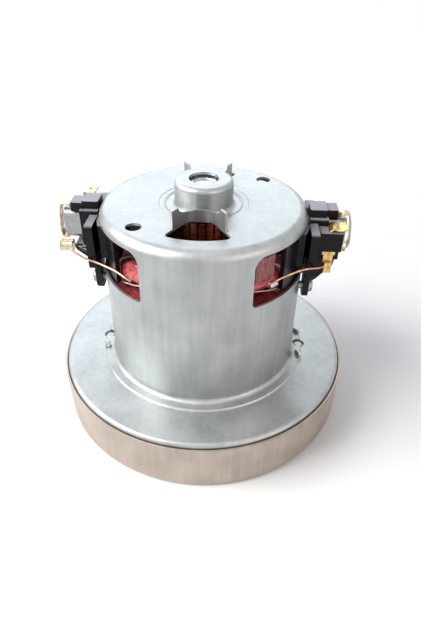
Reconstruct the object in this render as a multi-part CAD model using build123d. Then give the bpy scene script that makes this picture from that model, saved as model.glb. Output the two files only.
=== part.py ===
from build123d import *
import math
import os

# Vacuum cleaner motor unit, standing on its fan cover with the shaft upright, in millimetres.
# The origin is the centre of the face that it stands on. +Z runs up the shaft to the rear bearing
# boss and X runs through the two carbon brushes. An angle named az is counted from the front
# (-Y) towards +X. The unit is the same turned half round, apart from its two mains terminals.

# Fan cover's outer radius and sheet, which the flange's rim fits
COVER_R = 67.5
COVER_SHEET = 0.9

# Housing: one deep-drawn steel can with its flange
SHEET = 1.0
CAN_R = 43.0
DISC_Z = 99.3
SHOULDER_R = 4.0
BOSS_R = 12.0
BOSS_Z = 109.3
BOSS_EDGE_R = 1.4
BOSS_HOLE_R = 6.1
MOAT_R = 15.4
MOAT_DEPTH = 0.6
MOAT_RAMP = 1.8
FLANGE_Z = 25.4
FOOT_WIDTH = 4.6
FOOT_R = CAN_R + FOOT_WIDTH
FOOT_STEP = 0.6
FOOT_FILLET = 2.0
RIM_R = COVER_R - COVER_SHEET
RIM_EDGE_R = 1.8
RIM_BOTTOM_Z = 17.0

# Side windows and the two lipped openings in the end disc
WINDOW_Z = 73.0
WINDOW_TOP_Z = 95.1
WINDOW_AZ = 30.0
WINDOW_TOP_R = 5.0
WINDOW_BOTTOM_R = 2.0
LIP_APEX_Y = 15.2
LIP_APEX_R = 6.8
LIP_HALF_ANGLE = 30.0
LIP_MOUTH_INSET = 9.8
LIP_MOUTH_R = CAN_R - LIP_MOUTH_INSET
LIP_CORNER_R = 1.2
LIP_RISE = 3.4
HORN_RISE = 7.1
HORN_X = 8.3
HORN_CURVE_R = 2.6
HORN_END_Y = 25.3
DISC_HOLE_R = 3.15
DISC_HOLE_INSET = 18.3
DISC_HOLE_AT = CAN_R - DISC_HOLE_INSET

# Fixing holes and lug slots in the flange
FIX_OUTSET = 4.0
FIX_AT_R = CAN_R + FIX_OUTSET
FIX_HOLE_R = 2.9
LUG_AZ = 10.6
LUG_WIDTH = 4.6
LUG_THICK = 1.2
LUG_RISE = 2.0
LUG_TWIST = 35.0
LUG_SLOT_PLAY = 0.35
LUG_LIFT = 0.1

# Fan cover with its rolled inlet
COVER_TOP_Z = 23.5
COVER_CORNER_R = 2.6
INLET_R = 18.0
INLET_LIP_Z = 4.0
INLET_ROLL_R = 1.6
SEAL_WIDTH = 4.2
SEAL_TOP_Z = 3.2

# Lower bearing bracket, a pressed plate under the flange
BRACKET_PAST_CAN = 9.0
BRACKET_R = CAN_R + BRACKET_PAST_CAN
BRACKET_SHEET = 1.2
BRACKET_HOLE_R = 6.4
BRACKET_BEND_R = 1.6
AIRWAY_R_IN = 17.0
AIRWAY_INSET = 3.5
AIRWAY_R_OUT = CAN_R - AIRWAY_INSET
AIRWAY_COUNT = 4
AIRWAY_SPOKE_AZ = 22.0
AIRWAY_CORNER_R = 3.0
FIX_SCREW_R = 2.0
FIX_SCREW_HEAD_R = 3.6
FIX_SCREW_HEAD = 2.2

# Ball bearings, both the same size
BEARING_R = 11.0
BEARING_BORE_R = 4.0
BEARING_WIDTH = 7.0
BEARING_OUTER_LAND = 1.9
BEARING_INNER_LAND = 1.7
SHIELD_THICK = 0.3
SHIELD_INSET = 0.35
SHIELD_GAP = 0.25
LOWER_BEARING_Z = 16.6
UPPER_BEARING_Z = 100.6
WASHER_WIDTH = 1.4
WASHER_PLAY = 0.6

# Diffuser with guide vanes outside the fan and return vanes above it
DIFFUSER_Z = 14.0
DIFFUSER_PLATE = 1.2
DIFFUSER_PLAY = 3.6
DIFFUSER_R = COVER_R - COVER_SHEET - DIFFUSER_PLAY
DIFFUSER_HOLE_R = 8.0
GUIDE_WIDTH = 7.5
GUIDE_R_IN = DIFFUSER_R - GUIDE_WIDTH
GUIDE_COUNT = 11
GUIDE_CURVE_R = 23.0
VANE_THICK = 1.4
VANE_INSET = 0.6
RETURN_R_IN = 20.0
RETURN_INSET = 3.0
RETURN_R_OUT = DIFFUSER_R - RETURN_INSET
RETURN_COUNT = 7
POST_R = 3.4
POST_OUTSET = 1.5
POST_AT_R = CAN_R + POST_OUTSET
POST_COUNT = 3
POST_AZ = 45.0
DIFFUSER_SCREW_R = 1.5
DIFFUSER_SCREW_HEAD_R = 2.6
DIFFUSER_SCREW_SEAT = 2.2
DIFFUSER_SCREW_HEAD = 1.8
DIFFUSER_SCREW_PAST = 0.5

# Impeller: two plates with curved blades between them
FAN_PLAY = 1.5
FAN_R = GUIDE_R_IN - FAN_PLAY
FAN_TOP_Z = 13.3
FAN_PLATE = 0.9
FAN_EYE_R = 19.6
FAN_EYE_LIP_Z = 2.2
FAN_EYE_Z = 5.4
FAN_RIM_Z = 8.2
FAN_EYE_ROLL_R = 2.4
FAN_SHROUD = 0.8
BLADE_COUNT = 9
BLADE_THICK = 0.9
BLADE_R_IN = 23.0
BLADE_INSET = 1.0
BLADE_R_OUT = FAN_R - BLADE_INSET
BLADE_CURVE_R = 40.0
BLADE_CENTRE_R = 36.0

# Shaft, its spacer, washers and nut
SHAFT_R = 4.0
SHAFT_TOP_Z = 107.2
THREAD_R = 3.0
THREAD_END_Z = 4.6
SPACER_R = 6.0
HUB_WASHER_R = 11.0
HUB_WASHER = 1.6
NUT_FLATS = 10.0
NUT_HEIGHT = 5.0
SHAFT_EDGE = 0.4

# Stator core and its coils
CORE_Z = 40.0
CORE_TOP_Z = 70.0
CORE_FLAT = 5.5
CORE_FLAT_X = CAN_R - CORE_FLAT
YOKE_WIDTH = 8.0
YOKE_R = CAN_R - SHEET - YOKE_WIDTH
YOKE_FLAT_WIDTH = 6.5
YOKE_X = CORE_FLAT_X - YOKE_FLAT_WIDTH
WINDING_SPACE = 12.0
ARMATURE_R = YOKE_R - WINDING_SPACE
AIR_GAP = 0.6
BORE_R = ARMATURE_R + AIR_GAP
POLE_WIDTH = 26.0
SHOE_THICK = 4.4
SHOE_AZ = 58.0
COIL_PLAY = 0.6
COIL_LEG_R_IN = BORE_R + SHOE_THICK + COIL_PLAY
COIL_LEG_INSET = 1.8
COIL_LEG_R_OUT = YOKE_R - COIL_LEG_INSET
COIL_AZ_IN = 29.0
COIL_AZ_OUT = 60.0
COIL_HEAD_INSET = 2.8
COIL_HEAD_THICK = 5.8
COIL_HEAD_R_IN = CAN_R - SHEET - COIL_HEAD_INSET - COIL_HEAD_THICK
COIL_HEAD_R_OUT = COIL_HEAD_R_IN + COIL_HEAD_THICK
COIL_HEAD_GAP = 1.0
COIL_HEAD_HEIGHT = 12.0
COIL_EDGE = 1.5
COIL_CORNER_R = 6.0
PLATE_AZ_IN = 38.0
PLATE_AZ_OUT = 52.0
PLATE_THICK = 0.8
PLATE_RISE = 8.2
LACE_AZ = (18.0, 47.0)
LACE_WIDTH = 1.3
LACE_THICK = 0.5

# Armature
ARMATURE_SLOTS = 22
TOOTH_GAP_AZ = 4.0
SLOT_R_IN = 12.0
TOOTH_LIP = 1.4
SLOT_R_OUT = ARMATURE_R - TOOTH_LIP
SLOT_AZ = 8.6
HEAD_R_IN = 8.5
HEAD_INSET = 1.6
HEAD_R_OUT = ARMATURE_R - HEAD_INSET
HEAD_RISE = 7.0
BAR_COUNT = 22
BAR_R = 12.0
BAR_R_IN = 8.2
BAR_Z = 79.0
BAR_TOP_Z = 95.0
BAR_GAP = 0.6
RISER_R = 13.4
RISER = 2.0
HUB_PAST = 0.8

# Plastic brush holder, measured outwards (u) from the shaft, sideways (v) and up
BODY_INSIDE = 12.0
BODY_IN_U = CAN_R - BODY_INSIDE
HOLDER_PLAY = 0.3
PANEL_THICK = 3.3
FLANGE_IN_U = CAN_R + HOLDER_PLAY
FLANGE_OUT_U = FLANGE_IN_U + PANEL_THICK
BODY_PAST_PANEL = 4.4
BODY_OUT_U = FLANGE_OUT_U + BODY_PAST_PANEL
BODY_HALF_V = 6.4
BODY_Z = 79.4
BODY_TOP_Z = 96.0
BODY_INNER_Z = 94.6
CAP_IN_U = FLANGE_IN_U
CAP_INSET = 0.8
CAP_OUT_U = BODY_OUT_U - CAP_INSET
CAP_HALF_V = 4.4
CAP_TOP_Z = 99.3
FLANGE_HALF_V = 17.0
FLANGE_BOTTOM_Z = 74.6
FLANGE_TOP_Z = 94.4
PANEL_DEPTH = 1.8
PANEL_EDGE = 1.7
SHROUD_AZ = 37.0
SHROUD_PLAY = 0.4
SHROUD_THICK = 1.9
SHROUD_R_IN = CAN_R - SHEET - SHROUD_PLAY - SHROUD_THICK
SHROUD_R_OUT = SHROUD_R_IN + SHROUD_THICK
SHROUD_Z = 74.0
SHROUD_TOP_Z = 94.0
BLOCK_SUNK = 0.6
BLOCK_IN_U = FLANGE_OUT_U - BLOCK_SUNK
BLOCK_PAST_BODY = 5.2
BLOCK_OUT_U = BODY_OUT_U + BLOCK_PAST_BODY
BLOCK_V_OUT = 10.4
BLOCK_Z = 80.5
BLOCK_TOP_Z = 91.0
EAR_AT_V = 9.0
EAR_HALF_WIDTH = 4.0
EAR_Z = 62.0
EAR_SCREW_Z = 66.5
EAR_THICK = 2.4
SCREW_R = 1.6
SCREW_HEAD_R = 2.9
SCREW_HEAD = 1.9
SCREW_SLOT = 0.8
SCREW_IN = 0.9
SCREW_PLAY = 0.04
MOULD_R = 0.8

# Brush gear
BRUSH_Z = 88.25
BRUSH_WIDTH = 6.4
BRUSH_HEIGHT = 11.0
BRUSH_LENGTH = 25.0
BRUSH_PLAY = 0.1
BRUSH_GAP = 0.1
BRUSH_CHAMFER = 0.8
TUBE_WALL = 0.9
TUBE_IN_U = 16.0
TUBE_PAST_BODY = 7.8
TUBE_OUT_U = BODY_OUT_U + TUBE_PAST_BODY
TUBE_EDGE_R = 1.3
CLIP_THICK = 0.8
CLIP_WIDTH = 4.6
CLIP_TOP_Z = 97.6
CLIP_HOOK = 4.4
CLIP_FOOT_Z = 80.2
CLIP_CRIMP_Z = 77.6
CLIP_CRIMP_V = 4.4
CRIMP_R = 2.1
CRIMP_WAIST = 0.3
CRIMP_LENGTH = 5.2
SPRING_R = 2.4
SPRING_WIRE = 0.6
PIGTAIL_R = 0.6

# Mains terminals
TAB_WIDTH = 4.8
TAB_THICK = 0.8
TAB_INSET = 1.9
TAB_AT_U = BODY_OUT_U - TAB_INSET
TAB_OUT_V = 12.2
TAB_HOLE_R = 0.7
TONGUE_OUTSET = 3.0
TONGUE_AT_U = BODY_OUT_U + TONGUE_OUTSET
TONGUE_WIDTH = 5.2
TONGUE_OUT_V = 13.0
TONGUE_Z = 92.4
HANG_Z = 76.5
HANG_WIDTH = 4.4

# Enamelled copper leads between the coils and the terminals
LEAD_R = 0.45
LEAD_SIDES = 8
RUN_SHARE = 0.45

OVERRUN = 5.0
TOUCH = 0.02
ROUND_STEP = 45.0
FULL_TURN = 360.0
HALF_TURN = 180.0
QUARTER = 90.0

os.makedirs("parts", exist_ok=True)


def at(az, r, z=0.0):
    """Point at an angle from the front, a radius and a height."""
    a = math.radians(az)
    return Vector(r * math.sin(a), -r * math.cos(a), z)


def spin(shape, az):
    """The shape turned about the shaft."""
    return shape.rotate(Axis.Z, az)


def around(shape, count, first=0.0):
    """Copies of a shape at equal angles round the shaft."""
    return [spin(shape, first + i * FULL_TURN / count) for i in range(count)]


def joined(shapes):
    """One solid from several that overlap or touch."""
    whole = shapes[0]
    for shape in shapes[1:]:
        whole = whole + shape
    return whole


def save(name, shapes):
    """Write the separate solids of one node."""
    found = []
    for shape in shapes if isinstance(shapes, list) else [shapes]:
        found.extend(shape.solids())
    export_step(Compound(found) if len(found) > 1 else found[0], f"parts/{name}.step")


def eased(points, radii):
    """The line through the points with its rounded corners as arcs in short straight steps."""
    line = [points[0]]
    for before, corner, after, radius in zip(points, points[1:], points[2:], radii):
        heading = math.atan2(corner[1] - before[1], corner[0] - before[0])
        turn = math.atan2(after[1] - corner[1], after[0] - corner[0]) - heading
        turn = (turn + math.pi) % (2 * math.pi) - math.pi
        reach = radius * math.tan(abs(turn) / 2)
        side = math.copysign(math.pi / 2, turn)
        centre_r = corner[0] - reach * math.cos(heading) + radius * math.cos(heading + side)
        centre_z = corner[1] - reach * math.sin(heading) + radius * math.sin(heading + side)
        steps = max(1, round(abs(math.degrees(turn)) / ROUND_STEP)) if radius else 0
        for i in range(steps + 1):
            a = heading - side + (turn * i / steps if steps else 0)
            line.append((centre_r + radius * math.cos(a), centre_z + radius * math.sin(a)))
    return line + [points[-1]]


def lathe(points, turn=FULL_TURN):
    """Solid turned about the shaft from (radius, height) corners."""
    line = Polyline(*[(r, 0, z) for r, z in points], close=True)
    return revolve(Face(Wire(line.edges())), Axis.Z, turn)


def pressed(points, radii, sheet):
    """Turned sheet metal: a line with rounded corners, offset to its right by the sheet's thickness."""
    line = eased(points, radii)
    steps = [(b[0] - a[0], b[1] - a[1]) for a, b in zip(line, line[1:])]
    normals = [(z / math.hypot(x, z), -x / math.hypot(x, z)) for x, z in steps]
    back = []
    for (r, z), n0, n1 in zip(line, normals[:1] + normals, normals + normals[-1:]):
        grow = sheet / (1 + n0[0] * n1[0] + n0[1] * n1[1])
        back.append((r + grow * (n0[0] + n1[0]), z + grow * (n0[1] + n1[1])))
    return lathe(line + back[::-1])


def tube(r_out, r_in, z0, z1):
    """Ring about the shaft."""
    return lathe([(r_in, z0), (r_out, z0), (r_out, z1), (r_in, z1)])


def rod(r, z0, z1):
    """Plain cylinder about the shaft."""
    return Pos(0, 0, z0) * Cylinder(r, z1 - z0, align=(Align.CENTER, Align.CENTER, Align.MIN))


def block(low, high):
    """Box between two corners."""
    size = [h - l for l, h in zip(low, high)]
    mid = [(h + l) / 2 for l, h in zip(low, high)]
    return Pos(*mid) * Box(*size)


def wedge(r_in, r_out, az0, az1, z0, z1):
    """Part of a ring between two angles."""
    mid = (az0 + az1) / 2
    edges = [
        Line(at(az0, r_in), at(az0, r_out)),
        ThreePointArc(at(az0, r_out), at(mid, r_out), at(az1, r_out)),
        Line(at(az1, r_out), at(az1, r_in)),
        ThreePointArc(at(az1, r_in), at(mid, r_in), at(az0, r_in)),
    ]
    face = Face(Wire([line.edge() for line in edges]))
    return Pos(0, 0, z0) * extrude(face, z1 - z0, dir=(0, 0, 1))


def upright(edge):
    """Whether an edge runs along the shaft."""
    return abs(edge.tangent_at(0).Z) > 1 - TOUCH


def level(edge):
    """Whether a straight edge lies flat."""
    return edge.geom_type == GeomType.LINE and abs(edge.tangent_at(0).Z) < TOUCH


# Housing


def housing_shell():
    """The drawn sheet from the boss hole out to the flange's rim, as one turned profile."""
    moat_z = DISC_Z - MOAT_DEPTH
    foot_z = FLANGE_Z + FOOT_STEP
    points = [
        (BOSS_HOLE_R, BOSS_Z),
        (BOSS_R, BOSS_Z),
        (BOSS_R, moat_z),
        (MOAT_R, moat_z),
        (MOAT_R + MOAT_RAMP, DISC_Z),
        (CAN_R, DISC_Z),
        (CAN_R, foot_z),
        (FOOT_R, foot_z),
        (FOOT_R + FOOT_STEP, FLANGE_Z),
        (RIM_R, FLANGE_Z),
        (RIM_R, RIM_BOTTOM_Z),
    ]
    radii = [BOSS_EDGE_R, 0, 0, 0, SHOULDER_R, FOOT_FILLET, 0, 0, RIM_EDGE_R]
    return pressed(points, radii, SHEET)


def lip_face():
    """Plan of the front opening: a round-nosed wedge that ends in an arc about the shaft."""
    slope = math.tan(math.radians(LIP_HALF_ANGLE))
    nose = LIP_APEX_Y - LIP_APEX_R * (1 / math.sin(math.radians(LIP_HALF_ANGLE)) - 1)
    far = LIP_MOUTH_R + OVERRUN
    half = (far - nose) * slope
    corners = [(0, -nose), (half, -far), (-half, -far)]
    wedge_line = FilletPolyline(*corners, radius=[LIP_APEX_R, 0, 0], close=True)
    face = Face(Wire(wedge_line.edges()))
    mouth = face & Circle(LIP_MOUTH_R)
    corners = mouth.vertices().filter_by(lambda v: abs(v.X) > HORN_X and -v.Y > HORN_END_Y)
    return fillet(corners, LIP_CORNER_R)


def lip_wall():
    """The sheet turned up along the opening's nose, low in the middle and with a horn at each end."""
    plan = lip_face()
    strip = offset(plan, SHEET) - plan
    strip = strip - Pos(0, -HORN_END_Y - CAN_R / 2) * Rectangle(CAN_R, CAN_R)
    wall = Pos(0, 0, DISC_Z - SHEET) * extrude(strip, HORN_RISE + SHEET, dir=(0, 0, 1))
    low = DISC_Z + LIP_RISE
    high = DISC_Z + HORN_RISE + OVERRUN
    dip = block((-HORN_X, -CAN_R, low), (HORN_X, 0, high))
    dip = fillet(dip.edges().filter_by(Axis.Y).group_by(Axis.Z)[0], HORN_CURVE_R)
    return wall - dip


def window_cut():
    """One side window, rounded at its four corners."""
    cut = wedge(CAN_R - OVERRUN, CAN_R + OVERRUN, WINDOW_AZ, HALF_TURN - WINDOW_AZ, WINDOW_Z, WINDOW_TOP_Z)
    rows = cut.edges().filter_by(level).group_by(Axis.Z)
    cut = fillet(rows[-1], WINDOW_TOP_R)
    rows = cut.edges().filter_by(level).group_by(Axis.Z)
    return fillet(rows[0], WINDOW_BOTTOM_R)


def lug_places():
    """Angles of the four bracket lugs."""
    return [side * QUARTER + turn * LUG_AZ for side in (-1, 1) for turn in (-1, 1)]


def lug_slot(az):
    """Slot that a lug passes through."""
    play = 2 * LUG_SLOT_PLAY
    slot = Pos(FIX_AT_R, 0, FLANGE_Z) * Box(LUG_THICK + play, LUG_WIDTH + play, 2 * OVERRUN)
    return spin(slot, az - QUARTER)


def motor_housing():
    """The can with its lips, windows and holes."""
    shell = housing_shell()
    for turn in (0, HALF_TURN):
        opening = Pos(0, 0, DISC_Z - OVERRUN) * extrude(lip_face(), 2 * OVERRUN, dir=(0, 0, 1))
        shell = shell - spin(opening, turn)
        shell = shell + spin(lip_wall(), turn)
        shell = shell - spin(window_cut(), turn)
        hole = Pos(DISC_HOLE_AT, DISC_HOLE_AT, DISC_Z) * Cylinder(DISC_HOLE_R, 2 * OVERRUN)
        shell = shell - spin(hole, turn)
        fixing = Pos(FIX_AT_R, 0, FLANGE_Z) * Cylinder(FIX_HOLE_R, 2 * OVERRUN)
        shell = shell - spin(fixing, turn)
        for side in (-1, 1):
            place = Pos(CAN_R, side * EAR_AT_V, EAR_SCREW_Z) * Rot(0, QUARTER, 0)
            shell = shell - spin(place * Cylinder(SCREW_R + SCREW_PLAY, 2 * OVERRUN), turn)
    for az in lug_places():
        shell = shell - lug_slot(az)
    return shell


# Fan cover, bracket and diffuser


def fan_cover():
    """Cup with its inlet rolled inwards."""
    points = [
        (INLET_R, INLET_LIP_Z),
        (INLET_R, 0),
        (COVER_R, 0),
        (COVER_R, COVER_TOP_Z),
    ]
    return pressed(points, [INLET_ROLL_R, COVER_CORNER_R], -COVER_SHEET)


def inlet_seal_ring():
    """Felt ring under the impeller, round its eye."""
    inner = FAN_EYE_R + FAN_SHROUD + SHEET
    return tube(inner + SEAL_WIDTH, inner, COVER_SHEET, SEAL_TOP_Z)


def bracket_plate_z():
    """Top face of the bracket's plate, against the flange's underside."""
    return FLANGE_Z - SHEET


def lower_bearing_bracket():
    """Pressed plate with the bearing cup, four airways and four twisted lugs."""
    top = bracket_plate_z()
    cup = [
        (BRACKET_HOLE_R, LOWER_BEARING_Z),
        (BEARING_R, LOWER_BEARING_Z),
        (BEARING_R, top),
        (BRACKET_R, top),
    ]
    plate = pressed(cup, [0, BRACKET_BEND_R], BRACKET_SHEET)
    span = FULL_TURN / AIRWAY_COUNT - AIRWAY_SPOKE_AZ
    airway = wedge(AIRWAY_R_IN, AIRWAY_R_OUT, -span / 2, span / 2, top - OVERRUN, top + OVERRUN)
    airway = fillet(airway.edges().filter_by(upright), AIRWAY_CORNER_R)
    for cut in around(airway, AIRWAY_COUNT):
        plate = plate - cut
    for side in (-1, 1):
        plate = plate - Pos(side * FIX_AT_R, 0, top) * Cylinder(FIX_SCREW_R, 2 * OVERRUN)
    for az in post_places():
        plate = plate - Pos(at(az, POST_AT_R, top)) * Cylinder(DIFFUSER_SCREW_R, 2 * OVERRUN)
    foot = top - BRACKET_SHEET / 2
    claw_z = FLANGE_Z + FOOT_STEP + LUG_LIFT
    for az in lug_places():
        stem = Pos(FIX_AT_R, 0, 0) * block(
            (-LUG_THICK / 2, -LUG_WIDTH / 2, foot), (LUG_THICK / 2, LUG_WIDTH / 2, claw_z + LUG_LIFT)
        )
        claw = block(
            (-LUG_THICK / 2, -LUG_WIDTH / 2, claw_z), (LUG_THICK / 2, LUG_WIDTH / 2, claw_z + LUG_RISE)
        )
        claw = chamfer(claw.edges().filter_by(Axis.X).group_by(Axis.Z)[-1], LUG_THICK)
        claw = Pos(FIX_AT_R, 0, 0) * claw.rotate(Axis.Z, LUG_TWIST)
        plate = plate + spin(stem + claw, az - QUARTER)
    return plate


def bracket_screws():
    """Screws from below whose ends show in the flange's two holes."""
    top = bracket_plate_z()
    head_z = top - BRACKET_SHEET - FIX_SCREW_HEAD
    screws = []
    for side in (-1, 1):
        stem = rod(FIX_SCREW_R, head_z, FLANGE_Z - SHEET / 4)
        stem = chamfer(stem.edges().group_by(Axis.Z)[-1], SHAFT_EDGE)
        head = rod(FIX_SCREW_HEAD_R, head_z, head_z + FIX_SCREW_HEAD)
        socket = Pos(0, 0, head_z) * extrude(RegularPolygon(FIX_SCREW_R, 6), FIX_SCREW_HEAD / 2)
        screws.append(Pos(side * FIX_AT_R, 0, 0) * (stem + head - socket))
    return screws


def post_places():
    """Angles of the diffuser's screw posts."""
    return [POST_AZ + i * FULL_TURN / POST_COUNT for i in range(POST_COUNT)]


def curved_vane(centre_r, curve_r, thick, r_in, r_out, z0, z1):
    """Upright strip that follows an arc whose centre stands off the shaft."""
    strip = Circle(curve_r + thick / 2) - Circle(curve_r - thick / 2)
    band = Circle(r_out) - Circle(r_in)
    pieces = ((Pos(centre_r, 0) * strip) & band).faces()
    face = pieces.sort_by(Axis.Y)[-1]
    return Pos(0, 0, z0) * extrude(face, z1 - z0, dir=(0, 0, 1))


def diffuser():
    """Black moulded disc: guide vanes outside the fan, return vanes above."""
    plate_top = DIFFUSER_Z + DIFFUSER_PLATE
    under_bracket = bracket_plate_z() - BRACKET_SHEET
    body = tube(DIFFUSER_R, DIFFUSER_HOLE_R, DIFFUSER_Z, plate_top)
    guide_out = DIFFUSER_R - VANE_INSET
    vane_z = DIFFUSER_Z + VANE_INSET
    guide = curved_vane(GUIDE_R_IN, GUIDE_CURVE_R, VANE_THICK, GUIDE_R_IN, guide_out, COVER_SHEET, vane_z)
    guides = around(guide, GUIDE_COUNT)
    back = curved_vane(
        BLADE_CENTRE_R, BLADE_CURVE_R, VANE_THICK, RETURN_R_IN, RETURN_R_OUT, vane_z, under_bracket
    )
    returns = around(back, RETURN_COUNT)
    posts = [Pos(at(az, POST_AT_R)) * rod(POST_R, vane_z, under_bracket) for az in post_places()]
    body = body.fuse(*guides, *returns, *posts)
    for az in post_places():
        place = Pos(at(az, POST_AT_R, 0))
        seat = DIFFUSER_Z + DIFFUSER_SCREW_SEAT
        body = body - place * rod(DIFFUSER_SCREW_HEAD_R, DIFFUSER_Z - OVERRUN, seat)
        body = body - place * rod(DIFFUSER_SCREW_R, DIFFUSER_Z, under_bracket + OVERRUN)
    for side in (-1, 1):
        room = rod(FIX_SCREW_HEAD_R + VANE_INSET, plate_top, under_bracket + OVERRUN)
        body = body - Pos(side * FIX_AT_R, 0) * room
    return body


def diffuser_screws():
    """Three screws up through the posts into the bracket."""
    seat = DIFFUSER_Z + DIFFUSER_SCREW_SEAT
    screws = []
    for az in post_places():
        stem = rod(DIFFUSER_SCREW_R, seat - DIFFUSER_SCREW_HEAD, bracket_plate_z() + DIFFUSER_SCREW_PAST)
        head = rod(DIFFUSER_SCREW_HEAD_R, seat - DIFFUSER_SCREW_HEAD, seat)
        screws.append(Pos(at(az, POST_AT_R, 0)) * (stem + head))
    return screws


# Bearings


def bearing_outer(z):
    """Outer ring."""
    return tube(BEARING_R, BEARING_R - BEARING_OUTER_LAND, z, z + BEARING_WIDTH)


def bearing_inner(z):
    """Inner ring."""
    return tube(BEARING_BORE_R + BEARING_INNER_LAND, BEARING_BORE_R, z, z + BEARING_WIDTH)


def bearing_shields():
    """The shield on each bearing's open side."""
    inner = BEARING_BORE_R + BEARING_INNER_LAND + SHIELD_GAP
    shields = []
    upper = UPPER_BEARING_Z + BEARING_WIDTH - SHIELD_INSET - SHIELD_THICK
    for low in (LOWER_BEARING_Z + SHIELD_INSET, upper):
        shields.append(tube(BEARING_R - BEARING_OUTER_LAND, inner, low, low + SHIELD_THICK))
    return shields


def bearing_wave_washer():
    """Spring washer between the upper bearing and the boss."""
    outer = BEARING_R - WASHER_PLAY
    return tube(outer, outer - WASHER_WIDTH, UPPER_BEARING_Z + BEARING_WIDTH, BOSS_Z - SHEET)


# Stator


def stator_core():
    """Lamination stack with two poles, front and back, and flats at the sides."""
    height = CORE_TOP_Z - CORE_Z
    outer = Circle(CAN_R - SHEET) & Rectangle(2 * CORE_FLAT_X, 2 * CAN_R)
    hollow = Circle(YOKE_R) & Rectangle(2 * YOKE_X, 2 * YOKE_R)
    poles = Rectangle(POLE_WIDTH, 2 * CAN_R) & Circle(CAN_R - SHEET)
    core = extrude(outer - hollow, height) + extrude(poles, height)
    for turn in (0, HALF_TURN):
        core = core + spin(wedge(BORE_R - SHEET, BORE_R + SHOE_THICK, -SHOE_AZ, SHOE_AZ, 0, height), turn)
    return Pos(0, 0, CORE_Z) * (core - rod(BORE_R, -OVERRUN, height + OVERRUN))


def coil_ends():
    """Heights of the coil: lowest, core's two faces with their gaps, highest."""
    low, top = CORE_Z - COIL_HEAD_GAP, CORE_TOP_Z + COIL_HEAD_GAP
    return low - COIL_HEAD_HEIGHT, low, top, top + COIL_HEAD_HEIGHT


def coil_head(z0, z1):
    """Curved bundle that crosses the pole outside the core, with its long edges eased."""
    r0, r1, e = COIL_HEAD_R_IN, COIL_HEAD_R_OUT, COIL_EDGE
    corners = [(r0 + e, z0), (r1 - e, z0), (r1, z0 + e), (r1, z1 - e)]
    corners += [(r1 - e, z1), (r0 + e, z1), (r0, z1 - e), (r0, z0 + e)]
    return spin(lathe(corners, 2 * COIL_AZ_OUT), -QUARTER - COIL_AZ_OUT)


def coil_corner(side, low):
    """What the coil's rounded corner leaves out, at one end of a head."""
    bottom, _, _, top = coil_ends()
    centre_z = bottom + COIL_CORNER_R if low else top - COIL_CORNER_R
    far_z = bottom - OVERRUN if low else top + OVERRUN
    z0, z1 = sorted((centre_z, far_z))
    square = block((0, -COIL_CORNER_R, z0), (CAN_R, OVERRUN, z1))
    round_part = Pos(0, -COIL_CORNER_R, centre_z) * Rot(0, QUARTER, 0) * Cylinder(COIL_CORNER_R, 2 * CAN_R)
    corner = square - round_part
    corner = spin(corner, COIL_AZ_OUT - QUARTER)
    return corner if side > 0 else mirror(corner, Plane.YZ)


def field_coil():
    """Front coil's bundle: two legs in the slots and a head above and below the pole."""
    bottom, low, high, top = coil_ends()
    pieces = [coil_head(bottom, low), coil_head(high, top)]
    for side in (-1, 1):
        az0, az1 = sorted((side * COIL_AZ_IN, side * COIL_AZ_OUT))
        pieces.append(wedge(COIL_LEG_R_IN, COIL_LEG_R_OUT, az0, az1, bottom, top))
        r0, r1 = COIL_LEG_R_OUT - SHEET, COIL_HEAD_R_IN + SHEET
        for z0, z1 in ((bottom, low), (high, top)):
            pieces.append(wedge(r0, r1, az0, az1, z0 + SHEET, z1 - SHEET))
    coil = joined(pieces)
    for side in (-1, 1):
        for below in (True, False):
            coil = coil - coil_corner(side, below)
    return coil


def coil_insulation_plates():
    """Stiff paper plates that stand on the ends of the coils beside the brushes."""
    low = coil_ends()[-1]
    inner = COIL_LEG_R_OUT - PLATE_THICK
    span = PLATE_AZ_OUT - PLATE_AZ_IN
    plates = []
    for side in (0, HALF_TURN):
        for az in (-PLATE_AZ_OUT, PLATE_AZ_IN):
            start = side + az
            plate = wedge(inner, COIL_LEG_R_OUT, start, start + span, low, low + PLATE_RISE)
            plates.append(plate)
    return plates


def coil_lacing():
    """Cord bands tied round the upper coil heads."""
    z0 = CORE_TOP_Z + COIL_HEAD_GAP
    z1 = z0 + COIL_HEAD_HEIGHT
    bands = []
    half = math.degrees(LACE_WIDTH / 2 / COIL_HEAD_R_OUT)
    for turn in (0, HALF_TURN):
        for az in [side * a for side in (-1, 1) for a in LACE_AZ]:
            outer = wedge(
                COIL_HEAD_R_OUT - COIL_EDGE,
                COIL_HEAD_R_OUT + LACE_THICK,
                turn + az - half,
                turn + az + half,
                z0 + COIL_EDGE,
                z1 + LACE_THICK,
            )
            bands.append(outer - spin(coil_head(z0, z1), turn))
    return bands


# Rotor


def shaft():
    """Ground shaft with its thread for the impeller's nut."""
    hub_low = FAN_TOP_Z - FAN_PLATE - HUB_WASHER
    body = rod(SHAFT_R, hub_low, SHAFT_TOP_Z) + rod(THREAD_R, THREAD_END_Z, hub_low)
    ends = body.edges().filter_by(GeomType.CIRCLE).group_by(Axis.Z)
    return chamfer(ends[0] + ends[-1], SHAFT_EDGE)


def armature_core():
    """Slotted lamination stack."""
    body = tube(ARMATURE_R, SHAFT_R, CORE_Z, CORE_TOP_Z)
    slot = wedge(SLOT_R_IN, SLOT_R_OUT, -SLOT_AZ / 2, SLOT_AZ / 2, CORE_Z - OVERRUN, CORE_TOP_Z + OVERRUN)
    half = TOOTH_GAP_AZ / 2
    mouth = wedge(SLOT_R_OUT - SHEET, ARMATURE_R + SHEET, -half, half, CORE_Z - OVERRUN, CORE_TOP_Z + OVERRUN)
    return body.cut(*around(slot + mouth, ARMATURE_SLOTS))


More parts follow.
